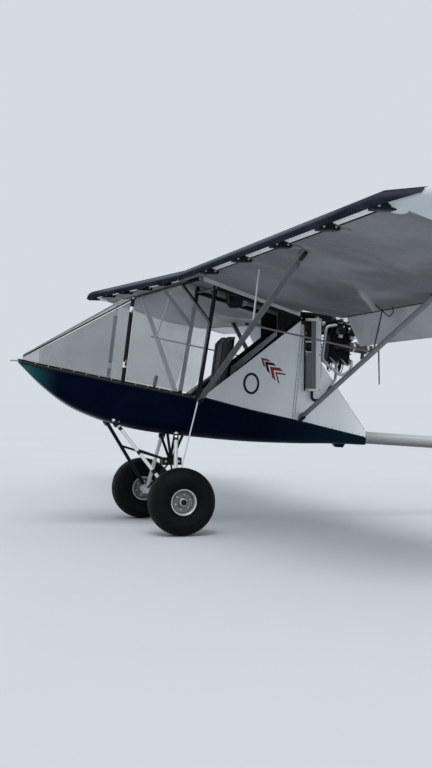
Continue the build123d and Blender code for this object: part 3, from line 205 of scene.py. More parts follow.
def smooth(table, x):
    """Cubic value at x that runs through every row of (x, value)."""
    i = min(len(table) - 2, sum(1 for row in table[1:] if row[0] < x))
    (x0, v0), (x1, v1) = table[i], table[i + 1]

    def slope(j):
        a, b = table[max(j - 1, 0)], table[min(j + 1, len(table) - 1)]
        return (b[1] - a[1]) / (b[0] - a[0])

    h = x1 - x0
    t = (x - x0) / h
    ends = v0 * (2 * t ** 3 - 3 * t ** 2 + 1) + v1 * (3 * t ** 2 - 2 * t ** 3)
    return ends + h * slope(i) * (t ** 3 - 2 * t ** 2 + t) + h * slope(i + 1) * (t ** 3 - t ** 2)


def arc(a, m, b, n):
    """n + 1 points on the circle through a, m and b, each a pair."""
    (ax, ay), (bx, by), (cx, cy) = a, m, b
    aa, bb, cc = ax ** 2 + ay ** 2, bx ** 2 + by ** 2, cx ** 2 + cy ** 2
    d = 2 * (ax * (by - cy) + bx * (cy - ay) + cx * (ay - by))
    ux = (aa * (by - cy) + bb * (cy - ay) + cc * (ay - by)) / d
    uy = (aa * (cx - bx) + bb * (ax - cx) + cc * (bx - ax)) / d
    r = math.hypot(ax - ux, ay - uy)
    start, middle, end = (math.atan2(y - uy, x - ux) for x, y in (a, m, b))
    sweep = (end - start) % math.tau
    if (middle - start) % math.tau >= sweep:
        sweep -= math.tau
    return [(ux + r * math.cos(t), uy + r * math.sin(t)) for t in steps(start, start + sweep, n)]


def column(i):
    return [(row[0], row[i]) for row in HULL_STATIONS]


def rail_y(x):
    return between(column(2), x)


def rail_z(x):
    return between(column(1), x)


def boom_at(x, rise_by=0.0):
    """Point over the boom's axis at x."""
    return at(x, 0, BOOM_REF[1] - BOOM_DROP * (x - BOOM_REF[0]) + rise_by)


def rise(y):
    return abs(y) * DIHEDRAL


def frame_y(x):
    """Half width of the cabin frame at x."""
    run = TUBES["root_longeron"][2] - FRAME_BEND
    return FRAME_Y - max(0, x - FRAME_BEND) * (FRAME_Y - FRAME_REAR_Y) / run


def wing_low(x, y):
    """Height of the wing's underside."""
    return between([NOSE_BOTTOM, KEEL_POINT, AFT_BOTTOM], x) + rise(y)


def thrust(u, v, w):
    """Point in the frame of the thrust line."""
    c, n = math.cos(THRUST_TILT), math.sin(THRUST_TILT)
    return at(PROP_HUB[0] + u * c + w * n, v, PROP_HUB[2] - u * n + w * c)


AFT = (thrust(1, 0, 0) - thrust(0, 0, 0)).normalized()
DOWN = (thrust(0, 0, -1) - thrust(0, 0, 0)).normalized()


# Materials. A look is a Principled shader with the nodes that vary it, and a Value is what one node gives.


class Value:
    def __init__(self, look, socket):
        self.look, self.socket = look, socket

    def maths(self, operation, other=0.0):
        return self.look.node("ShaderNodeMath", "Value", {0: self, 1: other}, operation=operation)

    def __add__(self, other):
        return self.maths("ADD", other)

    def __sub__(self, other):
        return self.maths("SUBTRACT", other)

    def __mul__(self, other):
        return self.maths("MULTIPLY", other)

    def __truediv__(self, other):
        return self.maths("DIVIDE", other)

    def __abs__(self):
        return self.maths("ABSOLUTE")

    def spread(self, low, high, to_low=0.0, to_high=1.0):
        """Maps low..high to a new range, clamped."""
        ends = {"From Min": low, "From Max": high, "To Min": to_low, "To Max": to_high}
        return self.look.node("ShaderNodeMapRange", "Result", {"Value": self, **ends})


class Look:
    def __init__(self, name, colour, rough, metal=0.0):
        self.material = LOOKS[name] = bpy.data.materials.new(name)
        self.material.use_nodes = True
        self.tree = self.material.node_tree
        self.shader = self.tree.nodes["Principled BSDF"]
        self.set("Base Color", colour)
        self.set("Roughness", rough)
        self.set("Metallic", metal)
        self.coords = self.node("ShaderNodeTexCoord", "Object", {})
        split = {"Vector": self.coords}
        self.x, self.y, self.z = (self.node("ShaderNodeSeparateXYZ", axis, split) for axis in "XYZ")
        self.x = self.x - AXLE_X

    def node(self, kind, output, inputs, **values):
        """What a new node gives from its inputs, each a number, a colour or a Value."""
        made = self.tree.nodes.new(kind)
        for key, value in values.items():
            setattr(made, key, value)
        for key, value in inputs.items():
            self.fill(made.inputs[key], value)
        return Value(self, made.outputs[output])

    def fill(self, socket, value):
        if isinstance(value, Value):
            self.tree.links.new(value.socket, socket)
        else:
            socket.default_value = (*value, 1) if socket.type == "RGBA" else value

    def set(self, socket, value):
        self.fill(self.shader.inputs[socket], value)

    def noise(self, scale, detail=4.0, stretch=(1, 1, 1), distortion=0.0):
        """Noise of the object's own coordinates, stretched along each axis."""
        place = self.node("ShaderNodeMapping", "Vector", {"Vector": self.coords, "Scale": stretch})
        values = {"Vector": place, "Scale": scale, "Detail": detail, "Distortion": distortion}
        return self.node("ShaderNodeTexNoise", "Fac", values)

    def wave(self, scale, direction, profile="SIN"):
        values = {"Vector": self.coords, "Scale": scale, "Distortion": 0.0}
        return self.node("ShaderNodeTexWave", "Fac", values, bands_direction=direction, wave_profile=profile)

    def mix(self, fac, a, b, blend="MIX"):
        """Colour between a and b."""
        return self.node("ShaderNodeMix", 2, {"Factor": fac, 6: a, 7: b}, data_type="RGBA", blend_type=blend)

    def wear(self, colour, rough, height=None, strength=0.08, distance=0.0012, gloss=0.5):
        """Colour, roughness and bump; a pair as roughness is the range of its dusty patches."""
        if isinstance(rough, tuple):
            rough = self.noise(18).spread(0.3, 0.75, *rough)
        bump = {"Strength": strength, "Distance": distance, "Height": height or self.noise(130, 3)}
        self.set("Base Color", colour)
        self.set("Roughness", rough)
        self.set("Normal", self.node("ShaderNodeBump", "Normal", bump))
        self.set("Specular IOR Level", gloss)


def shade(colour, factor):
    return tuple(c * factor for c in colour)


def paint(name, colour, rough=0.4, metal=0.0, gloss=0.5, grime=0.25, chip=None):
    """Painted or bare metal: uneven tone, dusty roughness and a fine ripple."""
    look = Look(name, colour, rough, metal)
    tone = look.noise(3.5, 5).spread(0.3, 0.75)
    base = look.mix(tone, shade(colour, 1 - grime), shade(colour, 1 + grime))
    if chip:
        base = look.mix(look.noise(42, 6, distortion=0.6).spread(0.66, 0.72), base, chip)
    look.wear(base, (rough * 0.75, min(1.0, rough * 1.3)), gloss=gloss)


def brushed(name, colour, rough=0.35):
    """Bare metal with drawn lines and dull patches."""
    look = Look(name, colour, rough, 1.0)
    lines = look.noise(40, 5, (1, 1, 14))
    base = look.mix(lines.spread(0.3, 0.7), shade(colour, 0.78), colour)
    base = look.mix(look.noise(5).spread(0.45, 0.8), base, shade(colour, 0.6))
    look.wear(base, look.noise(9).spread(0.3, 0.8, rough * 0.8, rough * 1.6), lines, 0.06, 0.0006)


def cloth(name, colour, dark=0.72, weave=700.0, patch_scale=1.4, sheen=0.05, over=None):
    """Sailcloth: woven, with wide dull patches; over(look, base, colour) lays more on it."""
    look = Look(name, colour, 0.62)
    patches = look.noise(patch_scale, 3, (1, 1, 1.5), 0.9).spread(0.40, 0.62)
    streaks = look.noise(5, 5, (2.6, 0.5, 1), 0.6).spread(0.5, 0.85, 0, 0.3)
    threads = look.wave(weave / 6.283, "X") * look.wave(weave / 6.283, "Y")
    base = look.mix(streaks, look.mix(patches, shade(colour, dark), colour), shade(colour, dark * 0.85))
    base = look.mix(threads * 0.12, base, shade(colour, 1.25))
    if over:
        base = over(look, base, colour)
    rough = look.noise(60, 3).spread(0.3, 0.7, 0.55, 0.75)
    look.wear(base, rough, threads * 0.4 + look.noise(9) * 1.6, 0.22, 0.0016, 0.3)
    look.set("Sheen Weight", sheen)


def wing_tapes_patch_and_highlight(look, base, colour):
    """Faint rib tapes, and on the underside a darker patch near the engine with a painted highlight along a
    fold at its edge.
    """
    out = abs(look.y)
    step = ((out - WING_ROOT) / RIB_PITCH).maths("FRACT")
    base = look.mix(abs(step - 0.5).spread(0.465, 0.472, 0, 0.10), base, shade(colour, 1.22))
    lines = ((NOSE_BOTTOM, KEEL_POINT), (KEEL_POINT, AFT_BOTTOM))
    falls = [(a[1] - b[1]) / (b[0] - a[0]) for a, b in lines]
    fore, rear = ((look.x - KEEL_POINT[0]) * fall for fall in falls)
    above = look.z - out * DIHEDRAL + fore.maths("MINIMUM", rear) - KEEL_POINT[1]
    below = above.spread(0.016, 0.022, 1, 0)
    dx = (look.x - DARK_PATCH_AT[0]) / DARK_PATCH_REACH[0]
    dy = (out - DARK_PATCH_AT[1]) / DARK_PATCH_REACH[1]
    ragged = (dx * dx + dy * dy).maths("SQRT") + look.noise(2.6, distortion=0.7) * 1.1
    run = look.x - FOLD_AT[0]
    fold = out - FOLD_AT[1] + run * FOLD_SLOPE
    dark_patch = ragged.spread(0.85, 1.60, 0.85, 0) * fold.spread(-0.03, 0.02, 1, 0.2) * below
    # Painted highlight: a lighter streak along the fold line, where the cloth catches the light.
    fold_highlight = fold.spread(0, 0.04, 0, 0.7) * fold.spread(0.05, 0.16, 1, 0) * run.spread(-0.10, 0.02) * below
    return look.mix(fold_highlight, look.mix(dark_patch, base, shade(colour, 0.32)), shade(colour, 2.1))


def shaded_front(look, base, colour):
    """Painted shade: darker towards the cabin, under the wing."""
    return look.mix(look.x.spread(1.35, 0.45), base, look.mix(1.0, base, (0.56, 0.56, 0.56), "MULTIPLY"))


def navy_paint_and_nose_sheen():
    """Deep navy with a painted teal sheen at the nose, and dark teal on the aft hull."""
    look = Look("hull_navy", (0.0010, 0.0024, 0.009), 0.25)
    tone = look.noise(2.2, distortion=0.5).spread(0.35, 0.7)
    base = look.mix(tone, (0.0004, 0.0010, 0.0050), (0.0012, 0.0034, 0.0105))
    # Painted sheen: teal towards the nose, where the light catches the hull.
    base = look.mix(look.x.spread(-1.17, -0.90, 1, 0).maths("POWER", 1.6), base, (0.022, 0.098, 0.108))
    base = look.mix(look.x.spread(0.95, 1.55, 0, 0.75), base, (0.0016, 0.0135, 0.0200))
    base = look.mix(look.noise(26, 6, distortion=0.4).spread(0.66, 0.84, 0, 0.05), base, (0.06, 0.08, 0.10))
    look.wear(base, look.noise(9).spread(0.3, 0.8, 0.24, 0.40), look.noise(5, 2), 0.03, 0.006, 0.09)
    look.set("Specular Tint", (0.16, 0.34, 1.0))


def rubber():
    look = Look("tyre_rubber", (0.004, 0.004, 0.005), 0.72)
    dust = look.noise(11, 6, distortion=0.5).spread(0.45, 0.85, 0, 0.4)
    base = look.mix(dust, (0.0030, 0.0031, 0.0036), (0.0110, 0.0110, 0.0115))
    look.wear(base, look.noise(30, 5).spread(0.3, 0.8, 0.58, 0.86), look.noise(160), 0.25, 0.001, 0.12)


def slat_paint():
    """Navy with a pale upper border, where it catches the sky."""
    look = Look("slat_navy", (0.026, 0.033, 0.055), 0.5)
    tone = look.noise(4.0, 5, (1, 0.6, 3), 0.6).spread(0.3, 0.7)
    base = look.mix(tone, (0.008, 0.011, 0.019), (0.024, 0.029, 0.042))
    base = look.mix(look.noise(34, 6, distortion=0.6).spread(0.68, 0.74), base, (0.08, 0.09, 0.11))
    height = look.z - abs(look.y) * DIHEDRAL
    border = height.spread(2.160, 2.190) * height.spread(2.198, 2.208, 1, 0.25)
    inboard = abs(look.y).spread(2.9, 3.6, 1, 0.25)
    look.wear(look.mix(border * inboard, base, (0.135, 0.147, 0.185)), (0.42, 0.60), gloss=0.0)


def rim_metal():
    """Cast wheel: bright outer ring, and a dull dish with turned rings."""
    look = Look("rim_alloy", (0.40, 0.41, 0.42), 0.40, 0.6)
    up = look.z - AXLE_Z
    radius = (look.x * look.x + up * up).maths("SQRT")
    turned = (radius * 62.0).maths("FRACT")
    dish = look.mix(turned.spread(0.35, 0.65), (0.13, 0.135, 0.14), (0.24, 0.245, 0.25))
    dish = look.mix(look.noise(30, 5).spread(0.45, 0.8), dish, (0.08, 0.08, 0.085))
    base = look.mix(radius.spread(0.088, 0.092), dish, (0.62, 0.63, 0.64))
    look.wear(base, (0.32, 0.52), turned, 0.15, 0.0006)


def jury_paint():
    """Grey tube, with the front upright white."""
    look = Look("jury_paint", (0.15, 0.155, 0.165), 0.42, 0.2)
    upright = look.z.spread(1.694, 1.702) * look.x.spread(0.46, 0.52, 1, 0)
    base = look.mix(look.noise(6, 5).spread(0.3, 0.7), (0.12, 0.125, 0.135), (0.19, 0.195, 0.205))
    look.wear(look.mix(upright, base, (0.80, 0.80, 0.80)), (0.36, 0.55))


def hose_sleeve():
    """Silver sleeving, black rubber on the low run to the radiator."""
    look = Look("hose_silver", (0.40, 0.41, 0.42), 0.42, 0.5)
    low = look.z.spread(1.215, 1.225, 1, 0) * look.x.spread(1.60, 1.62, 1, 0)
    weave = look.wave(60, "DIAGONAL")
    silver = look.mix(weave.spread(0.3, 0.7), (0.26, 0.27, 0.28), (0.62, 0.63, 0.64))
    look.wear(look.mix(low, silver, (0.004, 0.004, 0.005)), (0.36, 0.6), weave, 0.15, 0.0008)


def boom_metal():
    """Bare tube with a painted highlight along its upper side and painted shade underneath, with drawn lines
    and dull patches.
    """
    look = Look("boom_alloy", (0.55, 0.55, 0.54), 0.38, 0.6)
    height = look.z - BOOM_REF[1] + (look.x - BOOM_REF[0]) * BOOM_DROP
    # Painted light: bright on top, dark underneath.
    base = look.mix(height.spread(-0.050, 0.030), (0.085, 0.087, 0.092), (0.60, 0.61, 0.58))
    lines = look.noise(26, 5, (0.08, 1, 1))
    base = look.mix(lines.spread(0.35, 0.7, 0, 0.35), base, (0.34, 0.35, 0.36))
    base = look.mix(look.x.spread(1.95, 2.35, 0.5, 0), base, (0.22, 0.235, 0.255))
    look.wear(base, look.noise(8).spread(0.3, 0.8, 0.30, 0.50), lines, 0.05, 0.0006)


def clear_sheet(name, tint, alpha):
    """Thin clear plastic with haze and fine scratches."""
    look = Look(name, tint, 0.08)
    haze = look.noise(2.4, 5, distortion=0.7).spread(0.4, 0.8)
    scratches = look.noise(70, 5, (1, 0.2, 6)).spread(0.66, 0.75)
    rough = haze.spread(0, 1, 0.05, 0.16) + scratches * 0.3
    look.wear(look.mix(haze, tint, shade(tint, 1.7)), rough, look.noise(1.6, 2), 0.12, 0.01, 0.6)
    look.set("Alpha", haze.spread(0, 1, alpha * 0.85, alpha * 1.3) + scratches * 0.05)


def fins(name, colour, scale):
    """Radiator core: close fins across the face."""
    look = Look(name, colour, 0.45, 0.8)
    rows = look.wave(scale, "Z", "SAW")
    base = look.mix(rows, shade(colour, 0.35), colour)
    base = look.mix(look.wave(scale / 7, "X").spread(0.7, 0.95), base, shade(colour, 1.5))
    look.wear(base, 0.45, rows, 0.6, 0.002)


def make_looks():
    for make in (navy_paint_and_nose_sheen, rubber, rim_metal, boom_metal, slat_paint, hose_sleeve, jury_paint):
        make()
    brushed("bare_alloy", (0.62, 0.625, 0.63), 0.34)
    brushed("chrome", (0.85, 0.86, 0.87), 0.18)
    brushed("brass", (0.52, 0.38, 0.16), 0.4)
    paint("frame_black", (0.0035, 0.0036, 0.0045), 0.42, gloss=0.2, chip=(0.012, 0.012, 0.013))
    paint("black_metal", (0.0040, 0.0042, 0.0050), 0.5, gloss=0.2, chip=(0.016, 0.016, 0.017))
    paint("engine_black", (0.0018, 0.0018, 0.0024), 0.45, gloss=0.12, chip=(0.02, 0.02, 0.02))
    paint("matte_black", (0.0045, 0.0045, 0.0052), 0.75, gloss=0.2)
    paint("hose_black", (0.0045, 0.0045, 0.005), 0.6, gloss=0.2)
    paint("tape_black", (0.004, 0.004, 0.0045), 0.6, gloss=0.2)
    paint("mark_black", (0.003, 0.003, 0.0035), 0.45, gloss=0.2)
    paint("mark_red", (0.26, 0.012, 0.016), 0.45, gloss=0.3)
    paint("prop_black", (0.0030, 0.0030, 0.0034), 0.40, gloss=0.02)
    paint("dark_grey", (0.030, 0.032, 0.037), 0.5, gloss=0.3)
    # strut_grey, strut_mid and strut_light are lit and shaded copies of one strut grey: darker on the near
    # front strut as painted shade, lighter on the rear struts, light on the far front strut as painted
    # highlight.
    paint("strut_grey", (0.115, 0.12, 0.13), 0.42, 0.35, grime=0.16)
    paint("strut_mid", (0.17, 0.175, 0.185), 0.42, 0.3, grime=0.16)
    paint("strut_light", (0.62, 0.63, 0.63), 0.40, 0.25, grime=0.12)
    paint("gear_light", (0.66, 0.67, 0.67), 0.42, 0.15, grime=0.12)
    paint("slat_top", (0.10, 0.108, 0.135), 0.45, gloss=0.2, grime=0.2)
    paint("root_grey", (0.50, 0.51, 0.53), 0.5, gloss=0.3, grime=0.15)
    paint("tape_white", (0.80, 0.81, 0.82), 0.5, grime=0.06)
    paint("cast_alloy", (0.34, 0.34, 0.335), 0.5, 0.8)
    paint("exhaust_steel", (0.050, 0.040, 0.037), 0.50, 0.5, grime=0.4)
    cloth("wing_fabric", (0.205, 0.210, 0.225), 0.46, patch_scale=0.95, over=wing_tapes_patch_and_highlight)
    cloth("flap_fabric", (0.50, 0.51, 0.53), 0.74)
    cloth("tip_fabric", (0.62, 0.655, 0.70), 0.86)
    cloth("patch_grey", (0.22, 0.225, 0.235), 0.82)
    cloth("tail_fabric", (0.46, 0.48, 0.50), 0.84)
    cloth("white_strip", (0.88, 0.88, 0.90), 0.92, 900, 4)
    cloth("fairing_white", (0.88, 0.91, 0.94), 0.90, 900, 0.8, over=shaded_front)
    cloth("seat_cloth", (0.020, 0.021, 0.025), 0.7, 1100, 6, 0.2)
    cloth("pouch_blue", (0.0022, 0.0030, 0.019), 0.7, 1400, 9, 0.0)
    cloth("pouch_lilac", (0.22, 0.215, 0.33), 0.8, 1400, 9, 0.1)
    clear_sheet("clear_screen", (0.22, 0.235, 0.25), 0.40)
    clear_sheet("clear_door", (0.22, 0.235, 0.25), 0.30)
    fins("core_fins", (0.22, 0.23, 0.25), 150)


# Each look with the beginnings of the nodes' names that wear it; the longest one that fits a name counts
NODE_LOOKS = {
    "tyre_rubber": "tyre tailwheel", "rim_alloy": "rim", "hull_navy": "hull_shell", "boom_alloy": "tail_boom",
    "tip_fabric": "wing_tip", "wing_fabric": "wing", "flap_fabric": "flap aileron", "slat_navy": "slat",
    "tail_fabric": "stabilisers elevator fin rudder", "fairing_white": "fairing",
    # The near front strut, the rear struts and the far front strut wear lit and shaded copies of one grey:
    # painted shade and painted highlight.
    "clear_screen": "windscreen", "clear_door": "door", "strut_grey": "front_strut",
    "strut_mid": "rear_strut", "jury_paint": "jury",
    "strut_light": "front_strut_right gear_side tail_struts", "gear_light": "gear_legs",
    "frame_black": "cabin_frame roof_cross gear_bracing engine_mount", "engine_black": "engine_block",
    "black_metal": "slat_brackets rudder_pedals tailwheel_fork tailwheel_leg seat_tray control_stick",
    "cast_alloy": "gearbox", "core_fins": "radiator", "prop_black": "propeller", "exhaust_steel": "exhaust",
    "hose_silver": "coolant", "seat_cloth": "seat", "pouch_blue": "pouch", "brass": "pitot",
}


def dress_nodes():
    """Gives each node of the frame its material."""
    wearers = {beginning: look for look, names in NODE_LOOKS.items() for beginning in names.split()}
    for node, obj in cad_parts.items():
        beginning = max((key for key in wearers if node.startswith(key)), key=len)
        obj.data.materials.clear()
        obj.data.materials.append(LOOKS[wearers[beginning]])


# Mesh building


class Shapes:
    """Small solids gathered into one piece."""

    def __init__(self, name, look, slot=None, body="airframe"):
        self.name, self.look, self.slot, self.body = name, look, slot, body
        self.verts, self.faces = [], []

    def add(self, verts, faces):
        start = len(self.verts)
        self.verts += [tuple(v) for v in verts]
        self.faces += [tuple(i + start for i in face) for face in faces]
        return self

    def rings(self, rings, closed=True, caps=True):
        """Skin through rings of equal length."""
        n = len(rings[0])
        faces = [(r * n + i, r * n + (i + 1) % n, (r + 1) * n + (i + 1) % n, (r + 1) * n + i)
                 for r in range(len(rings) - 1) for i in range(n if closed else n - 1)]
        if caps and closed:
            faces += [tuple(range(n))[::-1], tuple((len(rings) - 1) * n + i for i in range(n))]
        return self.add([v for ring in rings for v in ring], faces)

    def swept(self, places, section, closed=True):
        """Skin on both sides: section(place) gives (x, y, z) from the axle, y outwards."""
        for side in SIDES:
            self.rings([[at(x, side * y, z) for x, y, z in section(place)] for place in places], closed)
        return self

    def turned(self, a, b, profile, sides=24):
        """Round body about the line from a to b: profile rows are (share along, radius)."""
        a, b = Vector(a), Vector(b)
        along = b - a
        turn = along.to_track_quat("Z", "Y")
        return self.rings([[a + along * share + turn @ Vector((r * math.cos(t), r * math.sin(t), 0))
                            for t in turns(sides)] for share, r in profile])

    def spun(self, centre, profile, sides):
        """Closed profile of (y, radius) spun about the Y axis through the centre."""
        rings = [[centre + Vector((r * math.cos(t), y, r * math.sin(t))) for y, r in profile]
                 for t in turns(sides)]
        return self.rings(rings + rings[:1], caps=False)

    def tube(self, a, b, radius, sides=20, edge=0.0015):
        """Round bar with softened ends."""
        length = (Vector(b) - Vector(a)).length
        e = min(edge, radius * 0.5, length * 0.3) / length
        r0 = radius - min(edge, radius * 0.5)
        return self.turned(a, b, [(0, r0), (e, radius), (1 - e, radius), (1, r0)], sides)

    def rivet(self, place, out, height, radii, sides=12):
        """Domed head on a surface that faces out."""
        return self.turned(place, place + Vector(out) * height, list(zip((0, 0.6, 1), radii)), sides)

    def bolt(self, place, out, radius, height):
        """Hexagon head with a washer on a surface that faces out."""
        place, out = Vector(place), Vector(out).normalized()
        seat = place + out * height * 0.25
        self.turned(place, seat, [(0, radius * 1.45), (1, radius * 1.4)], 18)
        return self.turned(seat, place + out * height, [(0, radius), (0.8, radius), (1, radius * 0.82)], 6)

    def box(self, centre, size, edge=0.002, turn=None):
        """Box with softened edges."""
        bm = bmesh.new()
        bmesh.ops.create_cube(bm, size=1.0)
        bmesh.ops.scale(bm, vec=Vector(size), verts=bm.verts)
        edge = min(edge, min(size) * 0.3)
        bmesh.ops.bevel(bm, geom=bm.edges[:], offset=edge, segments=2, affect="EDGES", profile=0.5)
        matrix = Matrix.Translation(centre) @ (turn.to_matrix().to_4x4() if turn else Matrix.Identity(4))
        bmesh.ops.transform(bm, matrix=matrix, verts=bm.verts)
        bm.verts.index_update()
        self.add([v.co.copy() for v in bm.verts], [[v.index for v in f.verts] for f in bm.faces])
        bm.free()
        return self

    def wire(self, points, radius, sides=10, cuts=6):
        """Round wire on a smooth curve through points."""
        points = [Vector(p) for p in points]
        line = []
        for p0, p1, p2, p3 in zip(points[:1] + points, points, points[1:], points[2:] + points[-1:]):
            for k in range(cuts):
                t = k / cuts
                line.append(0.5 * ((2 * p1) + (p2 - p0) * t + (2 * p0 - 5 * p1 + 4 * p2 - p3) * t ** 2
                                   + (3 * p1 - p0 - 3 * p2 + p3) * t ** 3))
        line.append(points[-1])
        rings = []
        side = None
        for before, p, after in zip(line[:1] + line, line, line[1:] + line[-1:]):
            ahead = (after - before).normalized()
            side = ahead.orthogonal() if side is None else side - ahead * side.dot(ahead)
            side.normalize()
            up = ahead.cross(side)
            rings.append([p + (side * math.cos(t) + up * math.sin(t)) * radius for t in turns(sides)])
        return self.rings(rings)

    def ribbon(self, points, half, thick, wide):
        """Flat strap along points; wide is its width direction."""
        rings = []
        for before, p, after in zip(points[:1] + points, points, points[1:] + points[-1:]):
            ahead = (after - before).normalized()
            across = (wide - ahead * wide.dot(ahead)).normalized()
            up = ahead.cross(across)
            corners = ((1, 1), (-1, 1), (-1, -1), (1, -1))
            rings.append([p + across * (half * a) + up * (thick * b) for a, b in corners])
        return self.rings(rings)

    def done(self, *replaced, sharp=40, skin=0.0):
        """Makes the object; skin thickens an open shell inwards."""
        mesh = bpy.data.meshes.new(self.name)
        mesh.from_pydata(self.verts, [], self.faces)
        mesh.validate()
        bm = bmesh.new()
        bm.from_mesh(mesh)
        bmesh.ops.remove_doubles(bm, verts=bm.verts, dist=1e-6)
        bmesh.ops.recalc_face_normals(bm, faces=bm.faces)
        bm.to_mesh(mesh)
        bm.free()
        obj = bpy.data.objects.new(self.name, mesh)
        bpy.context.scene.collection.objects.link(obj)
        if skin:
            thick = obj.modifiers.new("thick", "SOLIDIFY")
            thick.thickness = skin
            thick.offset = -1.0
            apply_modifiers(obj)
        obj.data.shade_smooth()
        obj.data.set_sharp_from_angle(angle=math.radians(sharp))
        obj.data.materials.append(LOOKS[self.look])
        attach(obj, self.body)
        if replaced:
            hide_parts(*replaced)
        return obj


def finish(sharp, *pieces):
    for piece in pieces:
        piece.done(sharp=sharp)


def apply_modifiers(obj):
    """Turns the object's modifiers into its mesh."""
    graph = bpy.context.evaluated_depsgraph_get()
    mesh = bpy.data.meshes.new_from_object(obj.evaluated_get(graph))
    old = obj.data
    obj.modifiers.clear()
    obj.data = mesh
    bpy.data.meshes.remove(old)


# Hull


def hull_ring(x):
    """Half-open section of the hull from the port rail round the keel to the starboard rail."""
    z_top, half_top = rail_z(x), rail_y(x)
    low, half = smooth(column(3), x), smooth(column(4), x)
    radius = min(half, z_top - low) * CHINE_SHARE
    bend_start = (half + (half_top - half) / (z_top - low) * radius, low + radius)
    outline = [mixed((half_top, z_top), bend_start, i / 8) for i in range(8)]
    for t in steps(0, 1, 10):
        a, b, c = (1 - t) ** 2, 2 * t * (1 - t), t ** 2
        y = bend_start[0] * a + half * b + (half - radius) * c
        outline.append((y, bend_start[1] * a + low * (b + c)))
    return [at(x, -y, z) for y, z in outline] + [at(x, y, z) for y, z in outline[::-1]]


def along_rail(piece, x0, x1, n, outline):
    """Strip on both rails, with its section given from the rail as (outwards, up)."""
    piece.swept(steps(x0, x1, n), lambda x: [(x, rail_y(x) + dy, rail_z(x) + dz) for dy, dz in outline])


def build_hull():
    skin = Shapes("hull_skin", "hull_navy", "hull_navy")
    rings = [hull_ring(x) for x in steps(HULL_NOSE[0], HULL_STATIONS[-1][0], HULL_RINGS)]
    skin.rings(rings, closed=False)
    for ring in (rings[0], rings[-1]):
        skin.add(ring, [tuple(range(len(ring)))])
    skin.done("hull_shell", skin=HULL_SKIN, sharp=50)

    fitting = Shapes("belly_fitting", "hull_navy", "hull_navy")
    mid_x = sum(x for x, _ in BELLY_FITTING) / len(BELLY_FITTING)
    flanks = ((-1, 0.82), (-0.8, 1.0), (0.8, 1.0), (1, 0.82))
    fitting.rings([[at(mid_x + (x - mid_x) * share, BELLY_HALF * y, z + (1 - share) * 0.04)
                    for x, z in BELLY_FITTING] for y, share in flanks])
    fitting.done(sharp=60)

    rail = Shapes("rail_trim", "matte_black", "black_metal")
    # Painted highlight: the dark grey bead along the black rail stands for the light along its middle.
    strip = Shapes("rail_highlight_strip", "dark_grey", "black_metal")
    lip = [(0.0020, -0.034), (0.0030, -0.002), (0.0015, 0.0), (-0.006, 0.0), (-0.0065, -0.030)]
    bead = [(0.0020, -0.022), (0.0042, -0.020), (0.0046, -0.014), (0.0020, -0.012)]
    for piece, outline in ((rail, lip), (strip, bead)):
        along_rail(piece, HULL_NOSE[0] + 0.02, FAIRING_FOOT, 40, outline)
    finish(35, rail, strip)

    screws = Shapes("rail_screws", "bare_alloy")
    for side, i in product(SIDES, range(14)):
        x = -1.10 + i * 0.1
        place = at(x, side * (rail_y(x) + 0.0030), rail_z(x) - 0.007)
        screws.rivet(place, (0, side, 0), 0.002, (0.0045, 0.004, 0.002))
    screws.done()


# Wing


def wing_outline():
    """Closed section as (x, z, inner): inner is 1 where cloth spans between ribs, 0 at the edges."""
    points = [(x, z, 0.0) for x, z in arc(NOSE_BOTTOM, NOSE_FRONT, NOSE_TOP, 8)]
    points += [(x, z, 0.5) for x, z in arc(NOSE_TOP, CREST_FRONT, CREST, 12)[1:]]
    points += [(x, z, min(1.0, (17 - i) / 3)) for i, (x, z) in enumerate(WING_AFT_TOP[1:])]
    points.append((*AFT_BOTTOM, 0.0))
    points += [(*mixed(AFT_BOTTOM, KEEL_POINT, t), min(1.0, 3 * t)) for t in steps(0, 1, 10)[1:]]
    points += [(*mixed(KEEL_POINT, NOSE_BOTTOM, t), min(1.0, (1 - t) * 8)) for t in steps(0, 1, 24)[1:-1]]
    return points


WING_AFT_TOP = arc(CREST, AFT_TOP_MID, AFT_TOP, 18)
WING_OUTLINE = wing_outline()


def cloth_offset(x, y, z, inner, sag):
    """How far the cloth sinks in at a point: between the ribs, and in long slanting folds."""
    step = ((abs(y) - WING_ROOT) / RIB_PITCH) % 1.0
    dip = RIB_SAG * sag * 4 * step * (1 - step)
    fold = noise.noise(Vector((x * 1.1 + y * 1.7, x * 3.6 - y * 0.7, 7.3 + z)))
    small = noise.noise(Vector((x * 5.0 + y * 4.0, x * 1.5 - y * 1.6, 2.1)))
    return inner * (dip + CLOTH_FOLD * max(0.0, fold) * sag + CLOTH_RIPPLE * sag * max(0.0, small))


def wing_ring(y, share=1.0, sag=1.0):
    """The cloth's section at y, shrunk to a share about the tip's pivot."""
    outline = [(*mixed(TIP_PIVOT, (x, z), share), inner) for x, z, inner in WING_OUTLINE]
    ring = []
    around = zip(outline[-1:] + outline, outline, outline[1:] + outline[:1])
    for (x0, z0, _), (x, z, inner), (x1, z1, _) in around:
        into = Vector((z1 - z0, x0 - x1)).normalized() * cloth_offset(x, y, z, inner, sag)
        ring.append(at(x + into[0], y, z + into[1] + rise(y)))
    return ring


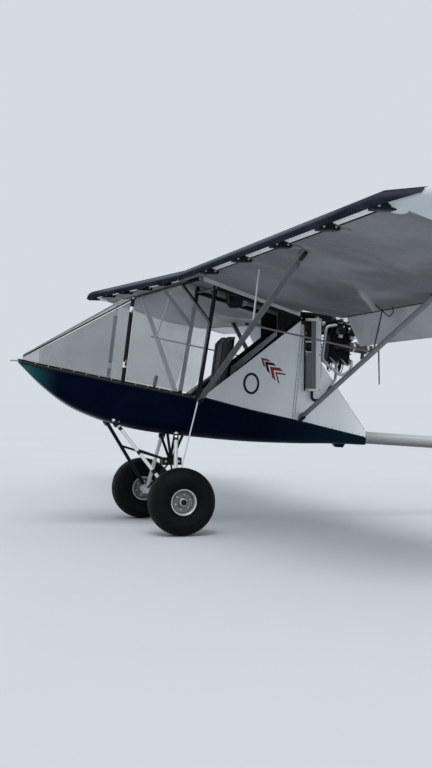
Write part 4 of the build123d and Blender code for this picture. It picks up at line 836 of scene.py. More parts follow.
def build_wings():
    tip_start = WING_PANEL + PANEL_GAP
    for side, name in SIDES.items():
        skin = Shapes("wing_skin_" + name, "wing_fabric", "wing_fabric")
        skin.rings([wing_ring(side * y) for y in steps(WING_ROOT, WING_PANEL, 140)])
        skin.done("wing_" + name, sharp=55)
        tip = Shapes("wing_tip_skin_" + name, "tip_fabric", "tip_fabric")
        tip.rings([wing_ring(side * (tip_start + (HALF_SPAN - tip_start) * t), 1 - (1 - TIP_SHARE) * t,
                             0.6 * math.sin(math.pi * t)) for t in steps(0, 1, 16)])
        tip.done("wing_tip_" + name, sharp=55)
        cord = Shapes("rear_cord_" + name, "black_metal", "black_metal")
        cord.tube(*(at(1.536, side * y, 1.8075 + rise(y)) for y in (0.400, 3.992)), 0.0048, 10).done()

    centre = Shapes("wing_centre_skin", "wing_fabric", "wing_fabric")
    top, low = between(WING_AFT_TOP, CENTRE_AFT), between([KEEL_POINT, AFT_BOTTOM], CENTRE_AFT)
    section = []
    for x, z, _ in WING_OUTLINE:
        if x > CENTRE_AFT:
            z = top if z > (top + low) / 2 or x < 1.3 and z > 1.95 else low
        section.append((min(x, CENTRE_AFT), z))
    edge = WING_ROOT - PANEL_GAP
    centre.rings([[at(x, y, z + rise(y)) for x, z in section] for y in steps(-edge, edge, 24)])
    centre.done("wing_centre", sharp=45)


def build_surfaces():
    """Dark end caps of the flaps and ailerons."""
    for side, name in SIDES.items():
        out = Vector((0, side, DIHEDRAL)).normalized()
        for piece, span, droop in (("flap", FLAP_Y, FLAP_DROOP), ("aileron", AILERON_Y, 0)):
            angle = math.radians(REAR_ANGLE + droop)
            back = Vector((math.cos(angle), 0, -math.sin(angle)))
            back = (back - out * back.dot(out)).normalized()
            edge = Shapes(f"{piece}_edge_{name}", "black_metal", body=f"{piece}_{name}")
            for y in (span[0] + 0.004, span[1] - 0.004):
                hinge = at(SURFACE_HINGE[0], side * y, SURFACE_HINGE[1] + rise(y))
                edge.tube(hinge - back * 0.006, hinge + back * (SURFACE_CHORD - 0.006), 0.0042, 12)
            edge.done()


def nose_cover(piece, y0, y1, lift):
    """Sheet round the wing's lower nose on both sides, tucked down at y0 and y1."""
    profile = [(STRIP_X, wing_low(STRIP_X, 0))] + arc(NOSE_BOTTOM, NOSE_FRONT, NOSE_TOP, 12)[:9]

    def section(place):
        y, raised = place
        away = [(Vector(p) - Vector((STRIP_X, 2.176))).normalized() * raised for p in profile]
        return [(x + dx, y, z + dz + rise(y)) for (x, z), (dx, dz) in zip(profile, away)]

    piece.swept(((y0, 0.0), (y0 + 0.004, lift), (y1 - 0.004, lift), (y1, 0.0)), section, closed=False)


def build_nose_strips():
    """White cover strips between the slat brackets with painted shadow lines under them, pads on these, and
    the rounded patches behind.
    """
    strips = Shapes("nose_strips", "white_strip", "fairing_white")
    # Painted shadow: thin black strips under the white cover strips stand for the shade beneath them.
    lines = Shapes("strip_shadow_lines", "matte_black", "black_metal")
    line = ((0.0, 0.0002), (0.002, 0.0030), (0.014, 0.0030), (0.016, 0.0002))

    def shadow_line_section(y):
        return [(STRIP_X + dx, y, wing_low(STRIP_X + dx, y) - drop) for dx, drop in line]

    starts = [0.36] + [y + BRACKET_CLEAR for y in BRACKETS]
    for y0, y1 in zip(starts, (y - BRACKET_CLEAR for y in BRACKETS)):
        nose_cover(strips, y0, y1, 0.0022)
        lines.swept((y0, y1), shadow_line_section)
    finish(60, strips, lines)

    pads = Shapes("bracket_pads", "black_metal", "black_metal")
    bolts = Shapes("bracket_bolts", "bare_alloy")
    for y in BRACKETS:
        nose_cover(pads, y - 0.056, min(y + 0.056, WING_PANEL - 0.002), 0.006)
        for side in SIDES:
            pads.box(at(0.222, side * y, 2.133 + rise(y)), (0.140, 0.090, 0.042), 0.006)
            for x, edge in product((0.180, 0.262), (-1, 1)):
                place = at(x, side * (y + edge * BRACKET_WIDTH / 2), 2.134 + rise(y))
                bolts.bolt(place, (0, edge * side, 0), 0.006, 0.005)
    pads.done(sharp=60)

    inner = Shapes("bracket_patches", "patch_grey", "wing_fabric")
    dome = ((1.0, 0.0005), (0.9, 0.0035), (0.6, 0.006), (0.25, 0.007))
    for side, y in product(SIDES, BRACKETS[:-1]):
        rings = []
        for share, drop in dome:
            edge = [(0.335 + 0.036 * share * math.cos(t), y + 0.068 * share * math.sin(t)) for t in turns(28)]
            rings.append([at(x, side * out, wing_low(x, y) - drop) for x, out in edge])
        inner.rings(rings, caps=False).add(rings[-1], [tuple(range(28))])

    outer = Shapes("tip_patches", "tip_fabric", "tip_fabric")
    last = BRACKETS[-1]

    def slice_of_patch(t):
        run, lift = 0.088 * math.sin(t), 0.036 * math.sin(t)
        return [(0.296 + run * math.cos(a), last - 0.006 + 0.086 * math.cos(t),
                 2.146 + rise(last) + lift * math.sin(a) - 0.30 * run * math.cos(a)) for a in turns(24)]

    outer.swept(steps(0, math.pi, 12)[1:-1], slice_of_patch)
    finish(70, inner, outer)
    bolts.done()


def build_slat_highlight():
    """Painted highlight: a lighter strip along the slats' top edge."""
    outline = [(0.2285, 2.2165), (0.2400, 2.2205), (0.2525, 2.2215), (0.2545, 2.2185), (0.2505, 2.2165)]
    trim = Shapes("slat_top_highlight", "slat_top", "slat_navy")
    trim.swept(steps(0.03, WING_PANEL, 32), lambda y: [(x, y, z + rise(y)) for x, z in outline]).done()


def build_root_strips():
    """Light strip between the wing root and the tube under it, on both sides."""
    x0, z0, x1, z1, d = TUBES["root_longeron"]

    def section(x):
        y = frame_y(x) + d / 2 + 0.004
        high = wing_low(x, WING_ROOT) - 0.001
        low = max(z0 + (z1 - z0) * (x - x0) / (x1 - x0) + d / 2 - 0.006, high - 0.040)
        return [(x, y, high), (x, y + 0.006, high - 0.003), (x, y + 0.006, low + 0.003), (x, y, low)]

    Shapes("root_strips", "root_grey", "wing_fabric").swept(steps(0.285, 1.200, 24), section).done()


# Glazing


def build_screen_trim():
    """Sealing strips along the windscreen's ridge and shoulders."""
    white = Shapes("screen_edges", "tape_white", "fairing_white")
    black = Shapes("screen_seams", "tape_black", "black_metal")
    nose_x, nose_z = HULL_NOSE
    _, _, post_x, post_z, _ = TUBES["front_post"]
    xs = steps(-1.190, -0.345, 24)

    def around(section, ridge=False):
        """Section given from the shoulder or the ridge as (outwards, up)."""
        def placed(x):
            share = (x - nose_x) / (post_x - nose_x)
            y = 0.0 if ridge else share * (FRAME_Y + 0.014) + 0.006
            z = nose_z + share * ((RIDGE_END_Z if ridge else post_z) - nose_z) + (0.010 if ridge else 0.0)
            return [(x, y + dy, z + dz) for dy, dz in section]
        return placed

    ridge = around([(-0.007, 0.003), (0.0, 0.0045), (0.007, 0.003), (0.0, -0.002)], ridge=True)
    white.rings([[at(*point) for point in ridge(x)] for x in xs])
    black.swept(xs, around([(0.0020, -0.009), (0.0030, 0.001), (-0.010, 0.0035), (-0.006, -0.006)]))
    white.swept(xs, around([(0.0022, -0.017), (0.0028, -0.010), (-0.003, -0.010), (-0.003, -0.016)]))
    finish(50, white, black)


def band(target, a, b, share, length, radius):
    """Sleeve of tape on a tube from a to b, its middle at a share of the way."""
    reach = (b - a).normalized() * length / 2
    middle = a + (b - a) * share
    target.tube(middle - reach, middle + reach, radius, 24, 0.0006)


def build_tape():
    """White tape on the front posts, black tape bands on the near-white gear legs, and a dark cover over most
    of the starboard front leg.
    """
    white = Shapes("post_tape", "tape_white", "fairing_white")
    black = Shapes("leg_tape", "tape_black", "black_metal")
    x0, z0, x1, z1, d = TUBES["front_post"]
    for side in SIDES:
        for z in (1.847, 1.386):
            ends = at(x0, side * FRAME_Y, z0), at(x1, side * FRAME_Y, z1)
            band(white, *ends, (z - z0) / (z1 - z0), 0.046, d / 2 + 0.0012)
        leg = at(FRONT_LEG[0], side * FRONT_LEG[1], FRONT_LEG[2]), at(0, side * BLOCK_Y, AXLE_Z)
        for share, length in ((0.12, 0.030), (0.42, 0.034), (0.66, 0.040)):
            band(black, *leg, share, length, FRONT_LEG_R + 0.001)
        # The starboard front leg shows dark along its length; a dark sleeve covers most of it.
        if side > 0:
            band(black, *leg, 0.49, (leg[1] - leg[0]).length * 0.86, FRONT_LEG_R + 0.0008)
    finish(40, white, black)


# Fairing


def wall(x, z, out=0.0):
    """Place on the fairing's side wall, from the axle."""
    return x, rail_y(x) - 0.001 + out, z


def build_marks():
    """Plain ring and plain chevrons on each side of the fairing."""
    black = Shapes("side_ring", "mark_black", "black_metal")
    red = Shapes("side_chevron_red", "mark_red")
    cx, cz, r, half = 0.723, 1.237, 0.066, 0.0105
    c, s = math.cos(math.radians(-41)), math.sin(math.radians(-41))

    def plate(piece, outline):
        piece.swept((0.0001, 0.0012), lambda out: [wall(x, z, out) for x, z in outline])

    angles = turns(48)
    for t0, t1 in zip(angles, angles[1:] + [math.tau]):
        corners = ((-half, t0), (half, t0), (half, t1), (-half, t1))
        plate(black, [(cx + (r + k) * math.cos(t), cz + (r * 1.25 + k) * math.sin(t)) for k, t in corners])
    chevrons = ((black, -0.045, 0.070, 0.046, 0.040), (red, -0.105, 0.060, 0.036, 0.034),
                (red, 0.030, 0.078, 0.056, 0.046), (black, 0.100, 0.078, 0.050, 0.022))
    for piece, u, reach, height, width in chevrons:
        outline = [(u - reach, 0), (u, height), (u + width, height), (u - reach + width, 0),
                   (u + width, -height), (u, -height)]
        plate(piece, [(0.938 + a * c - b * s, 1.352 + a * s + b * c) for a, b in outline])
    finish(50, black, red)


def build_fairing_trim():
    """Seam strips, rivets and the dark edge along the fairing's foot."""
    seams = Shapes("fairing_seams", "slat_top", "strut_light")
    rivets = Shapes("fairing_rivets", "bare_alloy")
    for side in SIDES:
        for offset in (-0.012, 0.012):
            ends = (wall(x + offset, z, 0.001) for x, z in FAIRING_SEAM)
            seams.tube(*(at(x, side * y, z) for x, y, z in ends), 0.0018, 8)
        for i in range(16):
            x, y, z = wall(*mixed(*FAIRING_SEAM, (i + 0.5) / 16))
            rivets.rivet(at(x, side * y, z), (0, side, 0), 0.0025, (0.005, 0.0042, 0.002))
        for x in steps(FAIRING_FOOT + 0.05, FAIRING_TAIL[0] - 0.07, 21):
            x, y, z = wall(x, rail_z(x) + 0.018)
            rivets.rivet(at(x, side * y, z), (0, side, 0), 0.0022, (0.004, 0.0034, 0.0015), 10)
    top = (FAIRING_TOP[0] + 0.006, FAIRING_TOP[1] - 0.02)
    tail = (FAIRING_TAIL[0] - 0.01, FAIRING_TAIL[1] + 0.008)
    edge = ((0, 0.001), (0.010, -0.004), (0.006, -0.014), (-0.006, -0.004))

    def edging(t):
        x, z = mixed(top, tail, t)
        return [wall(x, z + dz, out) for dz, out in edge]

    seams.swept(steps(0, 1, 24), edging).done(sharp=50)
    rivets.done()
    foot = Shapes("fairing_foot_trim", "matte_black", "black_metal")
    outline = [(0.0005, -0.006), (0.0035, -0.002), (0.0035, 0.003), (-0.0005, 0.006)]
    along_rail(foot, FAIRING_FOOT, FAIRING_TAIL[0] - 0.01, 60, outline)
    foot.done()


# Wheels


def both_faces(outline):
    """Profile of (y, radius) with its mirror image."""
    return outline + [(-y, r) for y, r in outline[::-1]]


def build_wheels():
    tyre_side = [(-0.081, 0.1075), (-0.090, 0.113), (-0.100, 0.121), (-0.112, 0.135), (-0.1205, 0.152),
                 (-0.1260, 0.160), (-0.1265, 0.164), (-0.1295, 0.168), (-0.1325, 0.184), (-0.1325, 0.196),
                 (-0.1290, 0.212), (-0.1225, 0.228), (-0.1195, 0.231), (-0.1180, 0.2365), (-0.1080, 0.2470),
                 (-0.0930, 0.2575), (-0.0720, 0.2665), (-0.0480, 0.2722), (-0.0300, 0.2745),
                 (-0.0120, 0.2750)]
    rim_side = [(0.065, 0.0166), (0.065, 0.027), (0.060, 0.033), (0.0445, 0.0345), (0.0420, 0.038),
                (0.0380, 0.042), (0.0370, 0.050), (0.0370, 0.074), (0.0400, 0.084), (0.0500, 0.0905),
                (0.0660, 0.0935), (0.0760, 0.0960), (0.0790, 0.1000), (0.0805, 0.1050), (0.0800, 0.1072)]
    for side, name in SIDES.items():
        body = "wheel_" + name
        centre = at(0, side * WHEEL_Y, AXLE_Z)
        tyre = Shapes("tyre_skin_" + name, "tyre_rubber", "tyre_rubber", body)
        tyre.spun(centre, both_faces(tyre_side) + [(0.081, 0.1073), (-0.081, 0.1073)], 96)
        tyre.done("tyre_" + name, sharp=50)
        rim = Shapes("rim_skin_" + name, "rim_alloy", "rim_alloy", body)
        rim.spun(centre, both_faces(rim_side), 96).done("rim_" + name)

        details = Shapes("rim_bolts_" + name, "bare_alloy", "rim_alloy", body)
        for face in (-1, 1):
            out = Vector((0, face, 0))
            for t in (turn + 0.3 for turn in turns(6)):
                details.bolt(centre + Vector((0.061 * math.cos(t), face * 0.037, 0.061 * math.sin(t))),
                             out, 0.0062, 0.008)
            hub_lid = [(0, 0.0335), (0.7, 0.0335), (1, 0.031)]
            details.turned(centre + out * 0.060, centre + out * 0.0655, hub_lid, 32)
        outer = Vector((0, side, 0))
        stem = centre + outer * 0.045 + Vector((0.083, 0, 0.02))
        details.tube(stem, stem + outer * 0.030, 0.0040, 12).done(sharp=35)

        cap = Shapes("axle_cap_" + name, "black_metal")
        end = centre + outer * 0.078
        cap.turned(end, end + outer * 0.012, [(0, 0.0265), (0.3, 0.0262), (0.8, 0.022), (1, 0.012)], 6)
        cap.done(sharp=35)

    wheel = Shapes("tailwheel_skin", "tyre_rubber", "tyre_rubber", "tailwheel")
    low, high = (Vector(v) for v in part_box("tailwheel"))
    small_side = [(0.0215, 0.0066), (0.0215, 0.015), (0.0130, 0.0185), (0.0130, 0.024), (0.0180, 0.030),
                  (0.0180, 0.044), (0.0215, 0.048), (0.0220, 0.058), (0.0195, 0.066), (0.0140, 0.0725),
                  (0.0060, 0.0750)]
    wheel.spun((low + high) / 2, both_faces(small_side), 48).done("tailwheel")


# Power unit


def build_engine_detail():
    """Covers, intakes, filters, leads and bolts of the engine, and its bearers."""
    black = Shapes("engine_covers", "engine_black", "engine_black")
    alloy = Shapes("engine_fittings", "cast_alloy", "gearbox_alloy")
    bright = Shapes("engine_bolts", "bare_alloy")
    dark = Shapes("engine_rubbers", "hose_black", "black_metal")
    turn = Matrix.Rotation(THRUST_TILT, 3, "Y").to_quaternion()
    for u in CYLINDERS:
        for du, v in product((-0.034, 0.034), (-0.052, 0.052)):
            bright.bolt(thrust(u + du, v, -0.505), DOWN, 0.0065, 0.010)
        plug = thrust(u, 0, -0.547)
        dark.turned(plug, plug + DOWN * 0.030, [(0, 0.012), (0.5, 0.0115), (0.8, 0.009), (1, 0.004)], 16)
        lead = [(0, -0.045, -0.585), (-0.01, -0.100, -0.53), (-0.02, -0.112, -0.36), (-0.03, -0.110, -0.16)]
        dark.wire([plug + DOWN * 0.028] + [thrust(u + du, v, w) for du, v, w in lead], 0.0038)
        end = thrust(u, -0.167, -0.228)
        sleeve = [(0, 0.0275), (0.12, 0.0285), (0.88, 0.0285), (1, 0.0275)]
        dark.turned(thrust(u, -0.128, -0.228), end, sleeve)
        alloy.turned(end, end + PORT * 0.030, [(0, 0.024), (0.2, 0.026), (0.8, 0.026), (1, 0.023)])
        alloy.box(end + PORT * 0.022 + DOWN * 0.040, (0.036, 0.030, 0.044), 0.006, turn)
        cap = [(0, 0.030), (0.1, 0.033), (0.9, 0.033), (1, 0.029)]
        black.turned(end + PORT * 0.030, end + PORT * 0.062, cap, 32)
        for reach in (-0.029, -0.011):
            ring = end + PORT * reach
            bright.turned(ring, ring + PORT * 0.006, [(0, 0.0292), (1, 0.0292)], 28)
    for s in SIDES:
        for u in (-0.465, -0.365, -0.265):
            bright.bolt(thrust(u, s * 0.106, -0.175), (0, s, 0), 0.006, 0.006)
        black.box(thrust(-0.365, s * 0.112, -0.138), (0.150, 0.016, 0.050), 0.005, turn)
        for u in (-0.412, -0.330):
            alloy.box(thrust(u, s * 0.122, -0.138), (0.042, 0.012, 0.034), 0.004, turn)
        for v, w in ((0.050, -0.235), (0.058, -0.150), (0.058, -0.062), (0.050, 0.030)):
            bright.bolt(thrust(-0.1487, s * v, w), AFT, 0.0058, 0.008)
        black.tube(at(1.216, s * 0.190, 1.848), at(1.520, s * 0.150, 1.832), 0.026)
        black.tube(at(1.216, s * 0.190, 1.800), at(1.500, s * 0.140, 1.790), 0.016)
    for t in turns(8):
        bright.bolt(thrust(-0.537, 0.070 * math.cos(t), -0.185 + 0.070 * math.sin(t)), -AFT, 0.0045, 0.005)
    for u, v in ((-0.300, -0.050), (-0.352, 0.020), (-0.405, -0.030)):
        foot = thrust(u, v, -0.096)
        alloy.turned(foot, foot - DOWN * 0.038, [(0, 0.020), (0.4, 0.022), (0.7, 0.016), (1, 0.012)], 20)
        bend = [(0.04, -0.03, -0.038), (0.09, -0.05, -0.063), (0.12, -0.055, -0.103)]
        bright.wire([foot - DOWN * 0.036] + [thrust(u + du, v + dv, w) for du, dv, w in bend], 0.0042)
    hoop = ((-0.22, -0.075, -0.06), (-0.20, -0.10, -0.10), (-0.19, -0.105, -0.20), (-0.235, -0.09, -0.25))
    bright.wire([thrust(*point) for point in hoop], 0.0065)
    pipe = ((0, -0.086, -0.468), (0.02, -0.118, -0.49), (0.06, -0.118, -0.515), (0.09, -0.088, -0.49))
    for u in (-0.455, -0.345):
        alloy.wire([thrust(u + du, v, w) for du, v, w in pipe], 0.0075)
    chrome = Shapes("air_filters", "chrome", "gearbox_alloy")
    for u, w in ((-0.462, -0.105), (-0.385, -0.115)):
        can = [(0, 0.020), (0.3, 0.030), (0.9, 0.031), (1, 0.026)]
        chrome.turned(thrust(u, -0.070, w), thrust(u, -0.178, w), can, 28)
        for share in (0.45, 0.6, 0.75):
            place = thrust(u, -0.070 - 0.108 * share, w)
            chrome.turned(place, place + PORT * 0.006, [(0, 0.0310), (0.5, 0.0335), (1, 0.0310)], 28)
    for u, w, r in ((-0.262, -0.250, 0.024), (-0.232, -0.315, 0.020), (-0.330, -0.190, 0.013)):
        knob = [(0, r * 0.8), (0.2, r), (0.85, r), (1, r * 0.7)]
        chrome.turned(thrust(u, -0.100, w), thrust(u, -0.158, w), knob, 24)
    finish(35, chrome, black, alloy, bright, dark)


def build_exhaust_detail():
    """Straps and end rings of the silencer, and the collars of its inlets."""
    straps = Shapes("silencer_straps", "bare_alloy")
    rings = Shapes("silencer_rings", "exhaust_steel", "exhaust_steel")
    strap = [(0, 0.0428), (0.2, 0.0436), (0.8, 0.0436), (1, 0.0428)]
    bead = [(0, 0.0425), (0.5, 0.0440), (1, 0.0425)]
    bands = [(straps, u, 0.009, strap) for u in (-0.285, -0.150)]
    bands += [(rings, u, 0.003, bead) for u in (-0.329, -0.109)]
    for piece, u, half, profile in bands:
        centre = thrust(u, *SILENCER)
        piece.turned(centre - AFT * half, centre + AFT * half, profile, 36)
    for u in (-0.395, -0.310):
        end = thrust(u, -0.086, SILENCER[1])
        rings.turned(end, end + PORT * 0.010, [(0, 0.028), (0.3, 0.030), (0.8, 0.030), (1, 0.026)])
    finish(30, straps, rings)


def build_radiator_detail():
    """Tanks, black blocks and brackets on the radiator; its front is dark grey as painted shade and its side
    bright as painted highlight.
    """
    (x0, y, z0), (x1, y1, z1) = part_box("radiator")
    depth, height = y1 - y, z1 - z0
    mid_y, mid_z = (y + y1) / 2, (z0 + z1) / 2
    front = Shapes("radiator_front", "strut_grey", "radiator_alloy")
    bright = Shapes("radiator_side", "gear_light", "radiator_alloy")
    black = Shapes("radiator_blocks", "matte_black", "black_metal")
    bolts = Shapes("radiator_bolts", "cast_alloy")
    # Painted shade on the front and painted highlight on the side: one alloy in two greys.
    front.box((x0 + 0.026, mid_y - 0.003, mid_z), (0.052, depth + 0.008, height - 0.004), 0.006)
    bright.box((x1 - 0.024, mid_y - 0.003, mid_z), (0.050, depth + 0.010, height - 0.002), 0.007)
    for share, tall in ((0.865, 0.115), (0.735, 0.050), (0.605, 0.080)):
        black.box((x0 + 0.024, y - 0.010, z0 + height * share), (0.046, 0.020, tall), 0.005)
    for share in (0.795, 0.675, 0.545):
        bright.box((x0 + 0.024, y - 0.007, z0 + height * share), (0.052, 0.010, 0.016), 0.003)
    black.box((x1 + 0.004, mid_y, mid_z + 0.06), (0.008, depth * 0.8, height * 0.80), 0.002)
    for z in (z0 + 0.012, z1 - 0.012):
        bright.box(((x0 + x1) / 2, y - 0.004, z), (x1 - x0 + 0.004, 0.010, 0.022), 0.003)
    for z, x in product((z0 + 0.012, z1 - 0.012, mid_z), (x0 + 0.012, x1 - 0.012)):
        bolts.bolt((x, y - 0.009, z), PORT, 0.0055, 0.006)
    cap_foot = Vector((x1 - 0.03, mid_y, z1))
    bolts.turned(cap_foot, cap_foot + Vector((0, 0, 0.016)), [(0, 0.018), (0.5, 0.020), (1, 0.017)], 8)
    finish(35, front, bright, black, bolts)


def build_propeller_detail():
    """Hub plates and bolts; they turn with the propeller."""
    plate = Shapes("hub_plates", "bare_alloy", "gearbox_alloy", "propeller")
    for face in (-1, 1):
        out = AFT * face
        disc = [(0, 0.0595), (0.8, 0.0595), (1, 0.057)]
        plate.turned(thrust(face * 0.032, 0, 0), thrust(face * 0.038, 0, 0), disc, 40)
        for t in turns(6):
            plate.bolt(thrust(face * 0.038, 0.042 * math.cos(t), 0.042 * math.sin(t)), out, 0.0065, 0.008)
    plate.done(sharp=35)


# Struts, fittings and gear


def build_strut_fittings():
    """Forks and bolts of the lift struts, rod ends of the jury struts and rods of the flap brackets."""
    black = Shapes("strut_fittings", "black_metal", "black_metal")
    bolts = Shapes("strut_bolts", "bare_alloy")
    bracket = ((1.353, 1.864), (1.474, 1.770), (1.513, 1.806), (1.500, 1.848))
    for side in SIDES:
        for strut, head in ((FRONT_STRUT, 0.965), (REAR_STRUT, 0.975)):
            for share, length in ((0.016, 0.085), (head, 0.095)):
                ends = (mixed(*strut, share + by) for by in (-0.018, 0.022))
                a, b = (at(x, side * y, z) for x, y, z in ends)
                along, middle = (b - a).normalized(), (a + b) / 2
                turn = along.to_track_quat("Z", "Y")
                black.box(middle, (0.030, 0.056, length), 0.006, turn)
                for offset, face in product((-0.024, 0.024), (-1, 1)):
                    out = turn @ Vector((face, 0, 0))
                    bolts.bolt(middle + along * offset + out * 0.015, out, 0.0065, 0.007)
        black.tube(at(0.300, side * 1.448, 1.6862), at(0.272, side * 1.448, 1.6916), 0.0095, 16)
        for a, b in zip(bracket, bracket[1:]):
            black.tube(*(at(x, side * 1.430, z) for x, z in (a, b)), 0.0040, 10)
    finish(35, black, bolts)


def build_gear_detail():
    """Axle blocks' bolts, leg fittings at the hull and the bolts at the bracing's apex."""
    black = Shapes("gear_fittings", "black_metal", "black_metal")
    bolts = Shapes("gear_bolts", "bare_alloy")
    for side in SIDES:
        block = at(0, side * BLOCK_Y, AXLE_Z)
        for x, y, z in (FRONT_LEG, REAR_LEG):
            top = at(x, side * y, z)
            along = (block - top).normalized()
            turn = along.to_track_quat("Z", "Y")
            black.box(top + along * 0.047, (0.044, 0.052, 0.052), 0.008, turn)
            for face in (1, -1):
                out = turn @ Vector((0, face, 0))
                bolts.bolt(top + along * 0.049 + out * 0.026, out, 0.007, 0.008)
        for dx, dz in product((-0.022, 0.022), (-0.022, 0.022)):
            bolts.bolt(block + Vector((dx, -side * 0.031, dz)), (0, -side, 0), 0.0055, 0.006)
        for dx in (-0.058, 0.058):
            bolts.bolt(at(*GEAR_APEX) + Vector((dx, side * 0.052, 0)), (0, side, 0), 0.008, 0.009)
    finish(35, black, bolts)


def build_frame_fittings():
    """Clamps and bolts at the cabin frame's joints, and the ribs of its rear gussets."""
    ribs = Shapes("frame_clamps", "black_metal", "frame_black")
    bolts = Shapes("frame_bolts", "bare_alloy")
    joints = ((0.402, 2.050, 0.0215), (1.216, 1.812, 0.0225), (0.250, 2.122, 0.0165), (-0.325, 1.940, 0.0165))
    for side in SIDES:
        for x, z, r in joints:
            middle, reach = at(x, side * frame_y(x), z), Vector((0, 0.012, 0))
            clamp = [(0, r * 0.92), (0.15, r), (0.85, r), (1, r * 0.92)]
            ribs.turned(middle - reach, middle + reach, clamp, 28)
            bolts.bolt(middle + reach * side, (0, side, 0), 0.008, 0.009)
        for x in steps(1.020, 1.170, 5):
            ahead = 1.216 - x
            high, low = 1.800 + ahead * 0.29, 1.824 - ahead * 0.79
            if high - low > 0.03:
                ribs.tube(*(at(x, side * (frame_y(x) + 0.006), z) for z in (low, high)), 0.004, 10)
    finish(35, ribs, bolts)


def build_boom_detail():
    """Collars on the boom with their rivets."""
    collar = Shapes("boom_collar", "boom_alloy", "boom_alloy")
    rivets = Shapes("boom_rivets", "bare_alloy")
    inner, outer = BOOM_R + 0.001, BOOM_R + 0.004
    profile = [(0, inner), (0.12, outer), (0.88, outer), (1, inner)]
    for x in BOOM_COLLARS:
        collar.turned(boom_at(x - 0.018), boom_at(x + 0.018), profile, 48)
        for t in turns(10):
            out = Vector((0, math.cos(t), math.sin(t)))
            rivets.rivet(boom_at(x) + out * outer, out, 0.002, (0.0045, 0.004, 0.002), 10)
    finish(30, collar, rivets)


# Seat and pouch


def pad_mesh(name, node, corners, thickness):
    """Crowned closed pad between four corners, in place of a node."""
    a, b, c, d = corners
    normal = (b - a).cross(d - a).normalized()
    n, m = PAD_CELLS
    width = n + 1
    top, low = [], []
    for v, u in product(steps(0, 1, m), steps(0, 1, n)):
        flat = a.lerp(b, u).lerp(d.lerp(c, u), v)
        near = min(min(u, 1 - u) * (b - a).length, min(v, 1 - v) * (d - a).length)
        crown = thickness * (0.55 + 0.45 * min(1.0, near / 0.05) ** 0.5)
        top.append(flat + normal * crown)
        low.append(flat + normal * 0.002)
    count = len(top)
    cells = [j * width + i for j in range(m) for i in range(n)]
    faces = [(k, k + 1, k + width + 1, k + width) for k in cells]
    faces += [tuple(count + k for k in face[::-1]) for face in faces]
    border = list(range(n)) + [j * width + n for j in range(m)]
    border += [count - 1 - i for i in range(n)] + [(m - j) * width for j in range(m)]
    faces += [(k, after, count + after, count + k) for k, after in zip(border, border[1:] + border[:1])]
    obj = Shapes(name, "seat_cloth", "seat_cloth").add(top + low, faces).done(node, sharp=80)
    puff(obj, 0.008)


def puff(obj, cap):
    """Lets the pad fill out as cloth under a little pressure, each point held within cap."""
    remesh = obj.modifiers.new("remesh", "REMESH")
    remesh.mode = "VOXEL"
    remesh.voxel_size = 0.009
    apply_modifiers(obj)
    rest = [v.co.copy() for v in obj.data.vertices]
    made = obj.modifiers.new("cloth", "CLOTH")
    made.settings.use_pressure = True
    made.settings.uniform_pressure_force = 4.0
    made.settings.effector_weights.gravity = 0.0
    scene = bpy.context.scene
    for number in range(1, 16):
        scene.frame_set(number)
    apply_modifiers(obj)
    for vertex, home in zip(obj.data.vertices, rest):
        move = vertex.co - home
        if move.length > cap:
            vertex.co = home + move.normalized() * cap
    scene.frame_set(1)
    obj.data.shade_smooth()


def build_seat():
    """Seat cushion, back pad and harness."""
    lean = (SEAT_BACK_TOP[0] - SEAT_PAN[1]) / (SEAT_BACK_TOP[1] - SEAT_PAN_Z + 0.020)

    def back(z, ahead=0.0):
        """x on the seat back at height z."""
        return SEAT_PAN[1] + lean * (z - SEAT_PAN_Z + 0.020) - 0.003 - ahead

    def pad_between(name, node, start, end, thickness):
        (x0, z0), (x1, z1) = start, end
        corners = ((x0, -1, z0), (x1, -1, z1), (x1, 1, z1), (x0, 1, z0))
        pad_mesh(name, node, [at(x, y * SEAT_HALF, z) for x, y, z in corners], thickness)

    pan_z, z0, z1 = SEAT_PAN_Z + 0.003, SEAT_PAN_Z + 0.076, SEAT_BACK_TOP[1] - 0.020
    pan_ends = (SEAT_PAN[0] + 0.012, pan_z), (SEAT_PAN[1] - 0.050, pan_z - 0.018)
    pad_between("seat_pad", "seat_cushion", *pan_ends, 0.052)
    pad_between("back_pad", "seat_back_pad", (back(z0), z0), (back(z1), z1), 0.050)

    straps = Shapes("harness", "seat_cloth", "seat_cloth")
    buckle = Shapes("harness_buckle", "bare_alloy")
    shoulder = [(back(1.615, -0.006), 0.085, 1.6425), (back(1.615, 0.014), 0.086, 1.6395),
                (back(1.60, 0.034), 0.087, 1.6195), (back(1.57, 0.064), 0.088, 1.585),
                (back(1.45, 0.066), 0.090, 1.450), (back(1.20, 0.066), 0.080, 1.200),
                (back(1.05, 0.085), 0.050, 1.040), (0.36, 0.020, 1.008)]
    lap = [(0.44, 0.195, 0.960), (0.40, 0.165, 0.995), (0.36, 0.100, 1.002), (0.35, 0.025, 1.006)]
    for s in SIDES:
        for line, wide in ((shoulder, (0, 1, 0)), (lap, (1, 0, 0))):
            straps.ribbon([at(x, s * y, z) for x, y, z in line], 0.022, 0.0022, Vector(wide))
    buckle.box(at(0.352, 0, 1.010), (0.060, 0.066, 0.012), 0.003)
    straps.done(sharp=50)
    buckle.done(sharp=35)


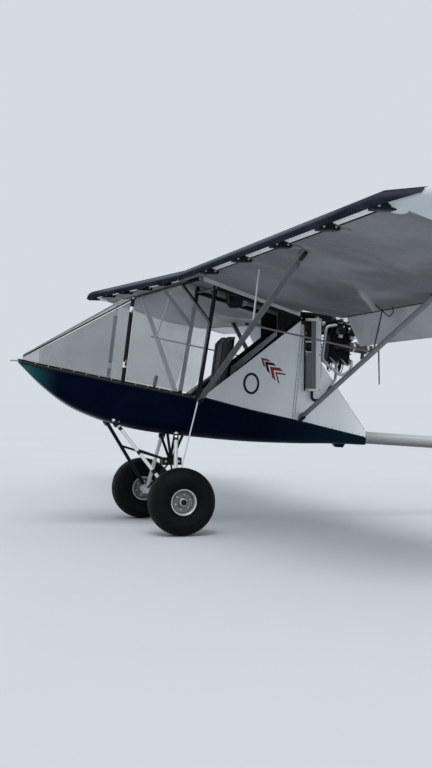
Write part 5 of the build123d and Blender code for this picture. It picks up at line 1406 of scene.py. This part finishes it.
def build_pouch():
    """Soft bag with a pale side panel and two straps across its top and down one end."""
    low, high = (Vector(v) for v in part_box("pouch"))
    centre, size = (low + high) / 2, high - low
    bag = Shapes("pouch_bag", "pouch_blue", "pouch_cloth")
    rings = []
    for t in steps(0, 1, 12):
        belly = 0.86 + 0.14 * math.sin(math.pi * min(1.0, t * 1.15)) - 0.30 * max(0.0, 0.12 - t) / 0.12
        ring = []
        for a in turns(32):
            parts = (math.cos(a), math.sin(a))
            x, y = (math.copysign(abs(part) ** 0.55, part) * 0.48 * belly for part in parts)
            crease = 0.004 * math.sin(5 * a + 9 * t)
            ring.append(Vector((centre.x + x * size.x + crease, centre.y + y * size.y + crease,
                                low.z + 0.006 + (size.z - 0.030) * t)))
        rings.append(ring)
    piece = bag.rings(rings).done("pouch", sharp=70)
    side = Shapes("pouch_panel", "pouch_lilac", "pouch_cloth")
    side.box((high.x + 0.006, centre.y, centre.z + 0.010), (0.060, size.y * 0.82, size.z * 0.80), 0.012)
    side.done(sharp=60)
    straps = Shapes("pouch_straps", "matte_black", "black_metal")
    for s in SIDES:
        y = centre.y + s * size.y * 0.30
        straps.box((centre.x, y, high.z - 0.016), (size.x * 0.80, 0.022, 0.004), 0.001)
        straps.box((centre.x - size.x * 0.47, y, centre.z + 0.012), (0.004, 0.022, size.z * 0.62), 0.001)
    straps.done(sharp=35)


# Tail


def build_tail_detail():
    """Wires from the fin to the stabilisers, and the ends of the tail struts."""
    wires = Shapes("tail_wires", "bare_alloy", "strut_light")
    ends = Shapes("tail_strut_ends", "black_metal", "black_metal")
    for s in SIDES:
        wires.tube(at(4.330, s * 0.018, 1.180), boom_at(4.270, 0.110) + Vector((0, s * 0.900, 0)), 0.0016, 8)
        ends.box(boom_at(4.290, -0.020) + Vector((0, s * 0.040, 0)), (0.030, 0.024, 0.020), 0.004)
    wires.done()
    ends.done(sharp=35)


# Camera, floor and light


def add_object(name, data):
    made = bpy.data.objects.new(name, data)
    bpy.context.scene.collection.objects.link(made)
    return made


def add_camera():
    data = bpy.data.cameras.new("camera")
    data.sensor_fit = "VERTICAL"
    data.sensor_height = SENSOR_MM
    data.lens = FOCAL_PX * SENSOR_MM / PHOTO_HEIGHT_PX
    data.clip_end = 200.0
    camera = add_object("camera", data)
    azimuth, pitch = math.radians(CAMERA_AZIMUTH), math.radians(CAMERA_PITCH)
    level = math.cos(pitch)
    forward = Vector((math.sin(azimuth) * level, math.cos(azimuth) * level, math.sin(pitch)))
    turn = forward.to_track_quat("-Z", "Y").to_matrix().to_4x4()
    roll = Matrix.Rotation(math.radians(CAMERA_ROLL), 4, "Z")
    camera.matrix_world = Matrix.Translation(CAMERA_AT) @ turn @ roll
    bpy.context.scene.camera = camera


def add_stage():
    """Pale floor, even sky and a soft sun."""
    mesh = bpy.data.meshes.new("floor")
    corners = [(x * FLOOR_HALF, y * FLOOR_HALF, 0) for x, y in ((-1, -1), (1, -1), (1, 1), (-1, 1))]
    mesh.from_pydata(corners, [], [(0, 1, 2, 3)])
    look = Look("floor", (0.67, 0.69, 0.71), 0.9)
    tone = look.noise(0.5, 3).spread(0.3, 0.7)
    look.set("Base Color", look.mix(tone, (0.660, 0.680, 0.700), (0.675, 0.695, 0.715)))
    look.set("Specular IOR Level", 0.0)
    mesh.materials.append(look.material)
    floor = add_object("floor", mesh)
    world = bpy.data.worlds.new("world")
    bpy.context.scene.world = world
    world.use_nodes = True
    sky = world.node_tree.nodes["Background"].inputs
    sky["Color"].default_value = (0.66, 0.71, 0.76, 1)
    sky["Strength"].default_value = 1.0
    sun = bpy.data.lights.new("sun", "SUN")
    sun.energy = 1.2
    sun.angle = 0.6
    add_object("sun", sun).rotation_euler = (math.radians(32), math.radians(-12), 0)


add_camera()
make_looks()
dress_nodes()
build_hull()
build_wings()
build_surfaces()
build_nose_strips()
build_slat_highlight()
build_root_strips()
build_screen_trim()
build_tape()
build_marks()
build_fairing_trim()
build_wheels()
build_engine_detail()
build_exhaust_detail()
build_radiator_detail()
build_propeller_detail()
build_strut_fittings()
build_gear_detail()
build_frame_fittings()
build_boom_detail()
build_seat()
build_pouch()
build_tail_detail()
add_stage()
bpy.context.scene.view_settings.view_transform = "Standard"
